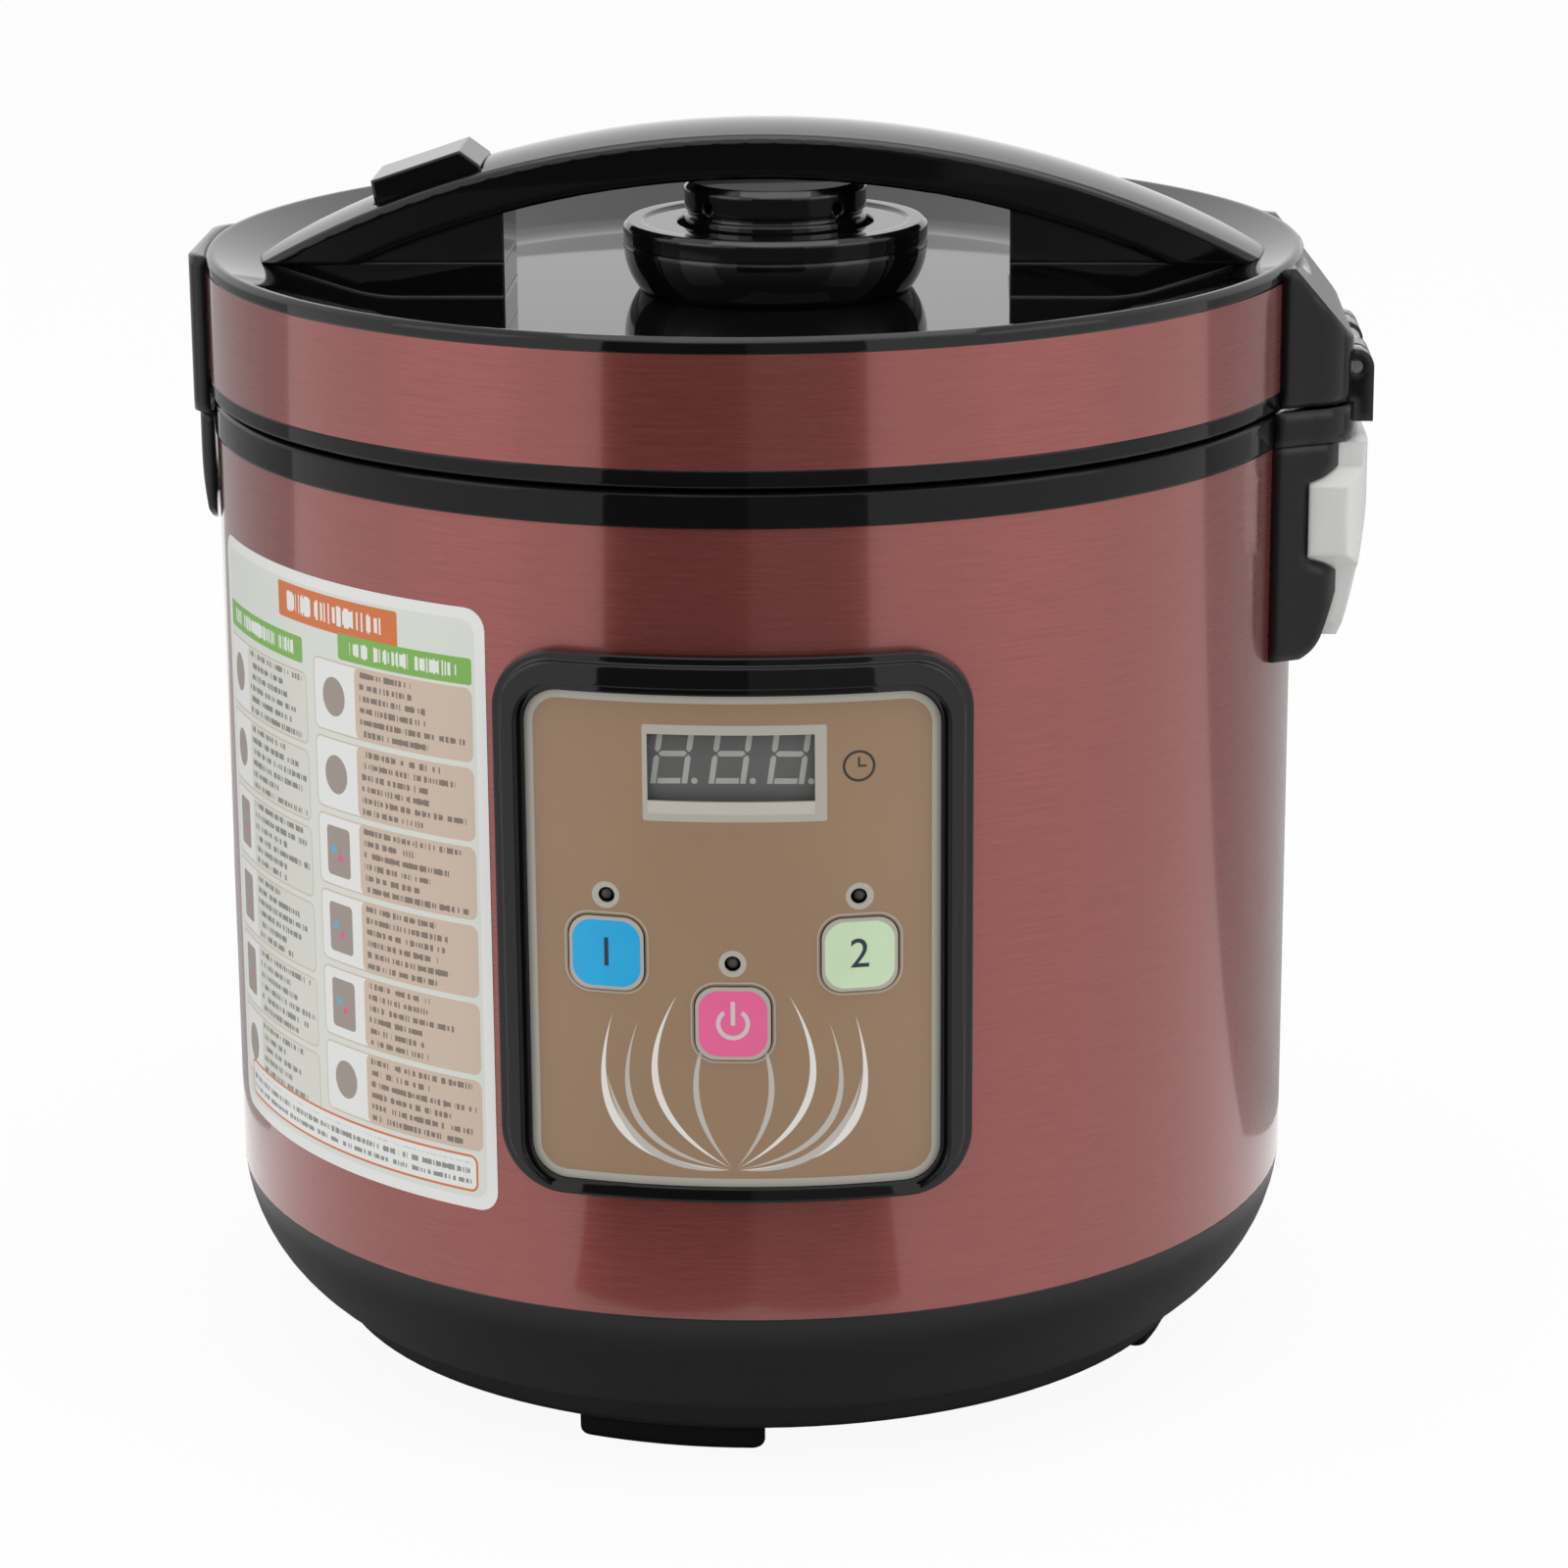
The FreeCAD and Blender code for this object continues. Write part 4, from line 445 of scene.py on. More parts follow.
def panel_film():
    """Printed membrane: brown ground, silver lines, lamp rings, a clock mark and a fan of leaf strokes."""
    material, finish, shader = new_material("panel_film")
    x, y, z = finish.axes()
    face = (x, z)
    ground = finish.use(moulded_grain, Colour=brown, Tone=0.10, Roughness=0.42, Smudge=0.06,
                        Patch_Scale=30.0, Grain_Scale=1800.0)
    colour = ground["Colour"]
    fan_up = finish.math("SUBTRACT", z, overlay_low.z + fan_lift)
    for turn, length, width, hollow, tint in leaf_strokes:
        for side in (-1, 1):
            across = finish.math("MULTIPLY", x, side)
            mask = finish.use(leaf_stroke, X=across, Z=fan_up, Angle=math.radians(turn), Length=length * mm,
                              Width=width * mm, Hollow=hollow, Soft=soft_edge)["Mask"]
            colour = finish.mix(mask, colour, tint)
    film_middle = (0.0, (overlay_low.z + overlay_high.z) / 2)
    film_half = (overlay_high.x, (overlay_high.z - overlay_low.z) / 2)
    depth = rounded(finish, face, film_middle, film_half, film_corner)["Depth"]
    colour = finish.mix(finish.span(depth, film_border, film_border - border_soft), colour, silver)
    frame_middle = (window_frame_side, window_z - window_frame_drop)
    window_frame = rounded(finish, face, frame_middle, window_frame_half, window_frame_corner)["Mask"]
    colour = finish.mix(window_frame, colour, silver)
    ledge_middle = (0.0, window_z - window_half_z - ledge_drop)
    ledge = rounded(finish, face, ledge_middle, (window_half_x, ledge_half_height), ledge_corner)["Mask"]
    colour = finish.mix(ledge, colour, pale_silver)
    for key, rise in lamp_rise.items():
        middle, half = key_face(key)
        ring_half = half + key_ring_gap
        depth = rounded(finish, face, middle, (ring_half, ring_half), key_ring_corner)["Depth"]
        colour = finish.mix(outlined(finish, depth, key_ring_line), colour, silver)
        lamp = ringed(finish, face, (middle[0], middle[1] + rise), no_hole, lamp_ring)
        colour = finish.mix(lamp, colour, silver)
    clock = (window_half_x + clock_gap, window_z)
    marks = [ringed(finish, face, clock, *clock_ring)]
    for (along, up), half in clock_hands:
        marks.append(rounded(finish, face, (clock[0] + along, clock[1] + up), half, mark_corner)["Mask"])
    for mark in marks:
        colour = finish.mix(mark, colour, ink)
    finish.put(shader["Base Color"], colour)
    finish.put(shader["Roughness"], ground["Roughness"])
    finish.put(shader["Normal"], bumped(finish, ground["Height"], strength=0.04, distance=0.03 * mm))
    return material


def power_marks(finish, face, middle):
    """Masks of the power sign: a ring that is open at its top, and a bar."""
    x, z = shifted(finish, face, middle)
    turn = finish.math("ABSOLUTE", finish.math("ARCTAN2", x, z))
    ring = finish.math("MULTIPLY", ringed(finish, face, middle, *power_ring), finish.span(turn, *power_gap))
    bar = rounded(finish, face, (middle[0], middle[1] + power_bar_rise), power_bar_half, mark_corner)["Mask"]
    return ring, bar


def key_finish(name, node, colour, power=False):
    """Key cap: coloured face with a silver outline, and a power sign on the middle key."""
    material, finish, shader = new_material(name)
    x, y, z = finish.axes()
    face = (x, z)
    middle, half = key_face(node)
    ground = finish.use(moulded_grain, Colour=colour, Tone=0.12, Roughness=0.33, Smudge=0.08,
                        Patch_Scale=120.0, Grain_Scale=2200.0)
    inner = half - key_outline
    inside = rounded(finish, face, middle, (inner, inner), key_corner)["Mask"]
    tint = finish.mix(inside, silver, ground["Colour"])
    if power:
        for mark in power_marks(finish, face, middle):
            tint = finish.mix(mark, tint, power_tint)
    finish.put(shader["Base Color"], tint)
    finish.put(shader["Roughness"], ground["Roughness"])
    finish.put(shader["Normal"], bumped(finish, ground["Height"], strength=0.04, distance=0.03 * mm))
    return material


# Print of the sticker

sticker_turn = (-72.0, -25.0)
sticker_foot_gap = 20.5 * mm
sticker_head_gap = 20.9 * mm
sticker_low = shell_low.z + sticker_foot_gap
sticker_high = shell_high.z - sticker_head_gap
sticker_corner = 5.0 * mm
sticker_middle = math.radians(sum(sticker_turn) / 2) * body_radius
sticker_half_width = math.radians(sticker_turn[1] - sticker_turn[0]) * body_radius / 2
sticker_half_height = (sticker_high - sticker_low) / 2
sticker_border = 2.6 * mm
sticker_white = (0.72, 0.73, 0.71)
sticker_ground = (0.63, 0.66, 0.61)
card_beige = (0.56, 0.44, 0.355)
card_pale = (0.62, 0.62, 0.56)
head_orange = (0.58, 0.15, 0.035)
head_green = (0.18, 0.40, 0.07)
picture_brown = (0.30, 0.25, 0.22)
dot_blue = (0.10, 0.35, 0.60)
dot_pink = (0.62, 0.09, 0.24)

# Cards, in two columns
row_count = 6
row_pitch = 18.2 * mm
rows_foot_gap = 13.3 * mm
rows_low = sticker_low + rows_foot_gap
row_half_height = 8.5 * mm
column_split = -2.0 * mm
column_half = 28.0 * mm
right_middle = 24.2 * mm
right_share = 0.886
left_middle = -26.8 * mm
left_share = 0.83
left_drop = 5.0 * mm
card_x = 8.5 * mm
card_half = 19.5 * mm
card_corner = 2.2 * mm
card_line = 0.5 * mm
picture_x = -19.5 * mm
picture_half = (4.8 * mm, 5.9 * mm)
picture_corner = 1.2 * mm
picture_radius = 4.6 * mm
# Rows whose pictures are upright cards with dots, as a middle row and a reach; the other pictures are round
upright_rows = (2.0, 1.5)
picture_dots = ((-2.0 * mm, 0.4 * mm, dot_blue), (0.6 * mm, -1.4 * mm, dot_pink))
dot_radius = 1.0 * mm
line_pitch = 2.7 * mm
lines_lift = 3.0 * line_pitch
word_length = 1.9 * mm
line_stroke = 0.42 * mm
line_reach = (8.0 * mm, 30.0 * mm)
page_margin = (1.8 * mm, 0.9 * mm)
page_corner = 0.3 * mm
text_strength = 0.70

# Heading bars: middle and drop from the top edge, half sizes, all in mm, and the tint
headings = ((6.7, 7.6, 22.0, 4.2, head_orange), (-27.0, 18.2, 22.0, 3.1, head_green),
            (29.0, 14.4, 20.0, 3.1, head_green))
heading_corner = 0.8 * mm
heading_margin = 4.0 * mm
heading_strokes = 8

# Outlined note at the foot
note_side = 1.0 * mm
note_lift = 8.4 * mm
note_side_gap = 6.0 * mm
note_half_height = 4.5 * mm
note_middle = (note_side, note_lift - sticker_half_height)
note_half = (sticker_half_width - note_side_gap, note_half_height)
note_line = 0.7 * mm
note_pitch = 2.6 * mm
note_stroke = 0.4 * mm
note_margin = (1.9 * mm, 2.0 * mm)
note_seed = row_count + 1.0


def sticker_cards(finish, colour, u, height):
    """Rows of cards with a picture each; the left column is the right one drawn narrower and lower."""
    right = finish.math("GREATER_THAN", u, column_split)
    level = finish.math("ADD", height, finish.span(right, 1.0, 0.0, 0.0, left_drop))
    row = finish.math("DIVIDE", finish.math("SUBTRACT", level, rows_low), row_pitch)
    number = finish.math("FLOOR", row)
    in_rows = finish.math("MULTIPLY", finish.math("GREATER_THAN", row, 0.0),
                          finish.math("LESS_THAN", row, float(row_count)))
    row_z = finish.math("MULTIPLY", finish.math("SUBTRACT", finish.math("FRACT", row), 0.5), row_pitch)
    left_x = finish.math("DIVIDE", finish.math("SUBTRACT", u, left_middle), left_share)
    right_x = finish.math("DIVIDE", finish.math("SUBTRACT", u, right_middle), right_share)
    column = finish.math("MULTIPLY_ADD", right, finish.math("SUBTRACT", right_x, left_x), left_x)
    spot = (column, row_z)

    def in_card(mask):
        return finish.math("MULTIPLY", mask, in_rows)

    depth = rounded(finish, spot, (0.0, 0.0), (column_half, row_half_height), card_corner)["Depth"]
    colour = finish.mix(in_card(finish.span(depth, 0.0, soft_edge)), colour, sticker_white)
    card = rounded(finish, spot, (card_x, 0.0), (card_half, row_half_height), card_corner)["Mask"]
    colour = finish.mix(in_card(card), colour, finish.mix(right, card_pale, card_beige))
    colour = finish.mix(in_card(outlined(finish, depth, card_line)), colour, card_beige)

    off_row = finish.math("ABSOLUTE", finish.math("SUBTRACT", number, upright_rows[0]))
    is_upright = finish.math("LESS_THAN", off_row, upright_rows[1])
    upright = rounded(finish, spot, (picture_x, 0.0), picture_half, picture_corner)["Mask"]
    disc = ringed(finish, spot, (picture_x, 0.0), no_hole, picture_radius)
    picture = finish.math("MULTIPLY_ADD", is_upright, finish.math("SUBTRACT", upright, disc), disc)
    colour = finish.mix(in_card(picture), colour, picture_brown)
    for along, up, tint in picture_dots:
        dot = ringed(finish, spot, (picture_x + along, up), no_hole, dot_radius)
        colour = finish.mix(finish.math("MULTIPLY", in_card(dot), is_upright), colour, tint)

    lines = finish.use(printed_lines, X=u, Z=finish.math("ADD", row_z, lines_lift), Pitch=line_pitch,
                       Word=word_length, Stroke=line_stroke, Seed=number)
    length = finish.chance(finish.vector(lines["Line"], number, right))
    reach = finish.math("LESS_THAN", column, finish.span(length, 0.0, 1.0, *line_reach))
    page_half = (card_half - page_margin[0], row_half_height - page_margin[1])
    page = rounded(finish, spot, (card_x, 0.0), page_half, page_corner)["Mask"]
    text = finish.math("MULTIPLY", finish.math("MULTIPLY", lines["Mask"], reach), in_card(page))
    return finish.mix(finish.math("MULTIPLY", text, text_strength), colour, ink)


def sticker_headings(finish, colour, sheet):
    """Coloured bars with a pale line of strokes on each."""
    for middle, drop, half_width, half_height, tint in headings:
        along, up = middle * mm, sticker_half_height - drop * mm
        wide, tall = half_width * mm, half_height * mm
        bar = rounded(finish, sheet, (along, up), (wide, tall), heading_corner)["Mask"]
        colour = finish.mix(bar, colour, tint)
        caption = finish.use(printed_lines, X=sheet[0], Z=finish.math("SUBTRACT", sheet[1], up - tall),
                             Pitch=2.0 * tall, Word=tall, Stroke=tall / heading_strokes, Seed=up)["Mask"]
        inside = rounded(finish, sheet, (along, up), (wide - heading_margin, tall), page_corner)["Mask"]
        colour = finish.mix(finish.math("MULTIPLY", caption, inside), colour, sticker_white)
    return colour


def sticker_note(finish, colour, sheet):
    """Outlined pale strip with lines of strokes at the foot of the sheet."""
    depth = rounded(finish, sheet, note_middle, note_half, card_corner)["Depth"]
    colour = finish.mix(finish.span(depth, 0.0, soft_edge), colour, sticker_white)
    colour = finish.mix(outlined(finish, depth, note_line), colour, head_orange)
    lines = finish.use(printed_lines, X=sheet[0], Z=sheet[1], Pitch=note_pitch, Word=word_length,
                       Stroke=note_stroke, Seed=note_seed)["Mask"]
    text = finish.math("MULTIPLY", lines, finish.span(depth, *note_margin))
    return finish.mix(finish.math("MULTIPLY", text, text_strength), colour, ink)


def sticker_print():
    """Printed sheet: cards on a pale ground with a white border, heading bars and a foot note."""
    material, finish, shader = new_material("sticker_print")
    arc, height = finish.use(drum_place)
    u = finish.math("SUBTRACT", arc, sticker_middle)
    v = finish.math("SUBTRACT", height, (sticker_low + sticker_high) / 2)
    grain = finish.use(moulded_grain, Colour=sticker_white, Tone=0.06, Roughness=0.36, Smudge=0.08,
                       Patch_Scale=40.0, Grain_Scale=1500.0)
    field_half = (sticker_half_width - sticker_border, sticker_half_height - sticker_border)
    field = rounded(finish, (u, v), (0.0, 0.0), field_half, sticker_corner - sticker_border / 2)["Mask"]
    colour = finish.mix(field, grain["Colour"], sticker_ground)
    colour = sticker_cards(finish, colour, u, height)
    colour = sticker_headings(finish, colour, (u, v))
    colour = sticker_note(finish, colour, (u, v))
    finish.put(shader["Base Color"], colour)
    finish.put(shader["Roughness"], grain["Roughness"])
    finish.put(shader["Normal"], bumped(finish, grain["Height"], strength=0.03, distance=0.02 * mm))
    return material


# Finish of each material slot

finishes = {
    "rose_metal": brushed("rose_metal_brushed", (0.225, 0.055, 0.049), (0.293, 0.076, 0.067), roughness=0.25,
                          length=7.0 * mm, fineness=0.12 * mm, anisotropy=0.85, metallic=0.62, coat=1.0),
    "gloss_black": gloss_black("gloss_black_moulded", specular=0.5),
    "satin_black": moulded("satin_black_moulded", (0.006, 0.006, 0.0057), roughness=0.36, tone=0.4,
                           smudge=0.10, patch=30.0, grain=3800.0, bump=0.14, specular=0.36, edge=0.8 * mm),
    "rubber_black": moulded("foot_rubber", (0.005, 0.005, 0.005), roughness=0.62, tone=0.5, smudge=0.12,
                            patch=60.0, grain=2200.0, bump=0.3, specular=0.12, edge=1.5 * mm),
    "seal_grey": moulded("seal_silicone", (0.34, 0.35, 0.345), roughness=0.5, tone=0.18, smudge=0.1,
                         patch=60.0, grain=2600.0, bump=0.12),
    "clear_plastic": clear_plastic("collector_clear", (0.93, 0.94, 0.92), transmission=0.40, roughness=0.2),
    "smoke_pane": smoked_pane(),
    "bronze_film": panel_film(),
    "key_blue": key_finish("key_blue_print", "key_left", (0.006, 0.36, 0.68)),
    "key_green": key_finish("key_green_print", "key_right", (0.54, 0.69, 0.46)),
    "key_pink": key_finish("key_pink_print", "key_power", (0.74, 0.115, 0.285), power=True),
    "digit_block": moulded("digit_block_grey", (0.140, 0.138, 0.136), roughness=0.5, tone=0.15,
                           patch=60.0, grain=2600.0),
    "lamp_lens": moulded("lamp_lens_dark", (0.05, 0.043, 0.038), roughness=0.5, smudge=0.05,
                         patch=200.0, grain=1500.0),
    "circuit_board": moulded("board_mask", (0.015, 0.10, 0.04), roughness=0.4, tone=0.4, smudge=0.1,
                             patch=180.0, grain=1200.0, bump=0.1),
    "switch_black": moulded("switch_moulded", (0.012, 0.012, 0.012), roughness=0.45, tone=0.4, smudge=0.1,
                            patch=200.0, grain=3000.0, bump=0.1),
    "aluminium": brushed("pot_aluminium", (0.56, 0.56, 0.57), (0.74, 0.74, 0.75), roughness=0.32,
                         length=30.0 * mm, fineness=0.5 * mm, anisotropy=0.3),
    "steel_sheet": moulded("steel_plain", (0.50, 0.50, 0.51), roughness=0.34, tone=0.2, smudge=0.12,
                           patch=40.0, grain=1600.0, bump=0.08, metallic=1.0),
    "spring_steel": moulded("spring_wire", (0.40, 0.40, 0.41), roughness=0.28, tone=0.25, smudge=0.1,
                            patch=300.0, grain=2600.0, bump=0.1, metallic=1.0),
    "core_iron": moulded("core_varnished", (0.09, 0.06, 0.045), roughness=0.5, tone=0.5, smudge=0.12,
                         patch=120.0, grain=1800.0, bump=0.2),
    "relay_blue": moulded("relay_moulded", (0.012, 0.03, 0.11), roughness=0.3, patch=90.0, grain=2200.0),
    "brass": moulded("blade_plated", (0.62, 0.50, 0.30), roughness=0.28, tone=0.2, smudge=0.1,
                     patch=150.0, grain=2000.0, metallic=1.0),
}
# Black pieces with a gloss of their own: name, specular level, softened edge and nodes
own_gloss = (
    ("ring_black_moulded", 0.22, 1.0 * mm, ("upper_ring", "lid_lower_ring")),
    ("cover_black_moulded", 0.28, 4.0 * mm, ("hinge_column", "hinge_bracket", "catch_cover", "latch_cover",
                                            "lid_hinge_cover")),
    ("lid_black_moulded", 0.38, 1.0 * mm, ("lid_top", "panel_bezel")),
)
own_finish = {}
for finish_name, specular, edge, own_nodes in own_gloss:
    own_finish.update(dict.fromkeys(own_nodes, gloss_black(finish_name, specular, edge)))
for row in frame["record"]["subparts"]:
    node = nodes[row["node"]]
    node.data.materials.clear()
    node.data.materials.append(own_finish.get(row["node"], finishes[row["material_slot"]]))


# Mesh helpers

stand_up = Matrix.Rotation(math.pi / 2, 3, "X")


def piece_from(bm, name, material, body):
    """Finishes a bmesh as a piece that rides on a body."""
    bmesh.ops.recalc_face_normals(bm, faces=bm.faces)
    mesh = bpy.data.meshes.new(name)
    bm.to_mesh(mesh)
    bm.free()
    mesh.materials.append(material)
    piece = bpy.data.objects.new(name, mesh)
    bpy.context.scene.collection.objects.link(piece)
    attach(piece, body)
    return piece


def copy_of(node):
    """A CAD node's mesh, with its loose triangles joined."""
    bm = bmesh.new()
    bm.from_mesh(nodes[node].data)
    bmesh.ops.remove_doubles(bm, verts=bm.verts, dist=weld)
    return bm


def round_off(bm, geom, radius, segments, affect="EDGES"):
    """Rounds edges, or the corners of a flat sheet."""
    bmesh.ops.bevel(bm, geom=geom, offset=radius, offset_type="OFFSET", affect=affect, segments=segments,
                    profile=0.5, material=-1)


def cut(bm, place, normal, clear_outer=False):
    """Cuts a bmesh along a plane, and clears what lies beyond it where that is asked."""
    everything = bm.verts[:] + bm.edges[:] + bm.faces[:]
    bmesh.ops.bisect_plane(bm, geom=everything, plane_co=place, plane_no=normal, clear_outer=clear_outer)


def wrap(bm, radius, middle):
    """Bends a flat sheet (x along, z up, y out of the wall) round the drum's axis."""
    for vert in bm.verts:
        turn = (vert.co.x + middle) / radius
        reach = radius - vert.co.y
        vert.co = Vector((reach * math.sin(turn), -reach * math.cos(turn), vert.co.z))


def flat_sheet(half_width, half_height, corner, strips):
    """Upright rounded rectangle, cut into strips so that it can bend."""
    bm = bmesh.new()
    bmesh.ops.create_grid(bm, x_segments=1, y_segments=1, size=1.0)
    bmesh.ops.scale(bm, vec=(half_width, half_height, 1.0), verts=bm.verts)
    bmesh.ops.rotate(bm, cent=(0, 0, 0), matrix=stand_up, verts=bm.verts)
    round_off(bm, bm.verts[:], corner, segments=6, affect="VERTICES")
    for k in range(1, strips):
        cut(bm, (half_width * (2.0 * k / strips - 1.0), 0, 0), (1, 0, 0))
    return bm


def thicken(bm, thickness):
    """Gives a flat upright sheet a thickness towards the viewer at the front."""
    found = bmesh.ops.extrude_face_region(bm, geom=bm.faces[:])
    moved = [item for item in found["geom"] if isinstance(item, bmesh.types.BMVert)]
    bmesh.ops.translate(bm, vec=(0, -thickness, 0), verts=moved)


# Sticker on the red band

sticker_strips = 48
sticker_thickness = 0.12 * mm
sticker = flat_sheet(sticker_half_width, sticker_half_height, sticker_corner, sticker_strips)
bmesh.ops.translate(sticker, vec=(0, 0, (sticker_low + sticker_high) / 2), verts=sticker.verts)
thicken(sticker, sticker_thickness)
wrap(sticker, body_radius, sticker_middle)
piece_from(sticker, "instruction_sticker", sticker_print(), "body")


# Digits of the display

digit_pitch = 12.7 * mm
digit_half_height = 6.14 * mm
digit_half_width = 3.42 * mm
segment_width = 1.24 * mm
segment_gap = 0.30 * mm
digit_slant = math.tan(math.radians(8.4))
digit_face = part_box("display_module")[0].y
digit_drop = 5.0 * mm
digit_z = window_z + window_half_z - digit_drop
digit_point = 0.7 * mm
digit_point_gap = 2.1 * mm
segment_height = 0.08 * mm


def digit_outlines():
    """The seven bars of one digit (x, z), upright and round its middle."""
    half = segment_width / 2
    tip = digit_half_width - segment_gap
    inside = digit_half_width - half - segment_gap
    middle_bar = [(-tip, 0), (half - tip, -half), (tip - half, -half),
                  (tip, 0), (tip - half, half), (half - tip, half)]
    outlines = [middle_bar]
    for level in (-1, 1):
        low, high = level * (digit_half_height - half), level * (digit_half_height + half)
        outlines.append([(-inside, low), (inside, low), (inside, high), (-inside, high)])
        for hand in (-1, 1):
            x = hand * digit_half_width
            near = level * (half + segment_gap)
            outlines.append([(x - half, near), (x, level * segment_gap), (x + half, near), (x + half, high),
                             (x - half, high)])
    return outlines


def display_digits():
    """Unlit three-digit face: seven bars and a point for each digit, cut off by the window's upper edge."""
    bm = bmesh.new()
    for k in (-1, 0, 1):
        middle = k * digit_pitch
        for outline in digit_outlines():
            bm.faces.new([bm.verts.new((middle + x + z * digit_slant, digit_face, digit_z + z))
                          for x, z in outline])
        point = bmesh.ops.create_circle(bm, cap_ends=True, segments=16, radius=digit_point)
        bmesh.ops.rotate(bm, cent=(0, 0, 0), matrix=stand_up, verts=point["verts"])
        point_x = middle + digit_half_width - digit_half_height * digit_slant + digit_point_gap
        bmesh.ops.translate(bm, vec=(point_x, digit_face, digit_z - digit_half_height), verts=point["verts"])
    cut(bm, (0, 0, window_z + window_half_z), (0, 0, 1), clear_outer=True)
    thicken(bm, segment_height)
    return bm


segment_finish = moulded("digit_segments", (0.46, 0.465, 0.435), roughness=0.45, tone=0.12, smudge=0.06,
                         patch=120.0, grain=2200.0, bump=0.04)
piece_from(display_digits(), "display_digits", segment_finish, "body")


# Numerals on the keys

numeral_size = 9.5 * mm
numeral_height = 0.05 * mm
numeral_finish = moulded("numeral_print", (0.02, 0.03, 0.05), roughness=0.4, smudge=0.06, patch=200.0,
                         grain=2200.0, bump=0.03)


def numeral(name, text, key, body):
    """Plain printed figure on a key's face."""
    curve = bpy.data.curves.new(name + "_curve", "FONT")
    curve.body = text
    curve.size = numeral_size
    curve.align_x = "CENTER"
    curve.align_y = "CENTER"
    curve.extrude = numeral_height
    source = bpy.data.objects.new(name + "_curve", curve)
    bpy.context.scene.collection.objects.link(source)
    bpy.context.view_layer.update()
    mesh = bpy.data.meshes.new_from_object(source.evaluated_get(bpy.context.evaluated_depsgraph_get()))
    bpy.data.objects.remove(source)
    bm = bmesh.new()
    bm.from_mesh(mesh)
    bpy.data.meshes.remove(mesh)
    bmesh.ops.remove_doubles(bm, verts=bm.verts, dist=weld / 10)
    bmesh.ops.rotate(bm, cent=(0, 0, 0), matrix=stand_up, verts=bm.verts)
    across, up = key_face(key)[0]
    radius = -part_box("key_power")[0].y
    bmesh.ops.translate(bm, vec=(0, 0, up), verts=bm.verts)
    wrap(bm, radius, radius * math.asin(across / radius))
    piece_from(bm, name, numeral_finish, body)


numeral("numeral_left", "1", "key_left", "left_key")
numeral("numeral_right", "2", "key_right", "right_key")


# Rim round the edge of the base plate

rim_proud = 2.0 * mm
rim_lap = 1.0 * mm
rim_low = 7.0 * mm
rim_round = 1.0 * mm
rim_steps = 120


def base_rim():
    """Low dark rim between the bowl and the feet."""
    rim_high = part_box("base_bowl")[0].z
    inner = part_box("base_plate")[1].x - rim_lap
    outer = inner + rim_lap + rim_proud
    bm = bmesh.new()
    section = [bm.verts.new((radius, 0, z)) for radius, z in ((inner, rim_high), (outer, rim_high),
                                                              (outer, rim_low), (inner, rim_low))]
    sides = [bm.edges.new((section[k - 1], section[k])) for k in range(len(section))]
    bmesh.ops.spin(bm, geom=section + sides, cent=(0, 0, 0), axis=(0, 0, 1), dvec=(0, 0, 0), angle=math.tau,
                   steps=rim_steps, use_merge=True)
    middle_radius = (inner + outer) / 2
    middle_z = (rim_low + rim_high) / 2
    lower = [edge for edge in bm.edges
             if all(vert.co.z < middle_z and vert.co.xy.length > middle_radius for vert in edge.verts)]
    round_off(bm, lower, rim_round, segments=3)
    return bm


piece_from(base_rim(), "base_rim", finishes["satin_black"], "body")


# Foot pads, with their lower edges rounded

pads = copy_of("feet")
pad_round = 1.6 * mm
pad_low = 1.0 * mm
flat_angle = math.radians(1.0)
sharp_angle = math.radians(30.0)
bmesh.ops.dissolve_limit(pads, angle_limit=flat_angle, verts=pads.verts, edges=pads.edges)
lower = [edge for edge in pads.edges if edge.is_manifold and edge.calc_face_angle() > sharp_angle
         and max(vert.co.z for vert in edge.verts) < pad_low]
round_off(pads, lower, pad_round, segments=4)
foot_pads = piece_from(pads, "foot_pads", finishes["rubber_black"], "body")
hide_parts("feet")


# Spring of the pot sensor, as a piece that stands in for its CAD node, with a mesh of its own

coil = copy_of("sensor_spring")
sensor_coil = piece_from(coil, "sensor_coil", finishes["spring_steel"], "body")
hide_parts("sensor_spring")
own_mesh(sensor_coil)


# Studio

def seen_rays(finish):
    """One for rays from the camera, reflections and clear pieces, else zero."""
    path = finish.add("ShaderNodeLightPath").outputs
    return finish.math("MAXIMUM", path["Is Camera Ray"],
                       finish.math("MAXIMUM", path["Is Glossy Ray"], path["Is Transmission Ray"]))


def studio_material(name, colour, share):
    """Stage surface that the camera and reflections see as white by a share, and that keeps its shadow."""
    material = bpy.data.materials.new(name)
    material.use_nodes = True
    finish = Finish(material.node_tree)
    material.node_tree.nodes.remove(material.node_tree.nodes["Principled BSDF"])
    matt = finish.add("ShaderNodeBsdfDiffuse", {"Color": colour})
    glow = finish.add("ShaderNodeEmission", {"Color": (1.0, 1.0, 1.0), "Strength": 1.0})
    white_share = finish.math("MULTIPLY", seen_rays(finish), share)
    blend = finish.add("ShaderNodeMixShader", {0: white_share, 1: matt.outputs[0], 2: glow.outputs[0]})
    finish.put(material.node_tree.nodes["Material Output"].inputs["Surface"], blend.outputs[0])
    return material


def stage_piece(bm, name, material):
    """Links a bmesh as a sheet of the studio."""
    mesh = bpy.data.meshes.new(name)
    bm.to_mesh(mesh)
    bm.free()
    mesh.materials.append(material)
    sheet = bpy.data.objects.new(name, mesh)
    bpy.context.scene.collection.objects.link(sheet)
    return sheet


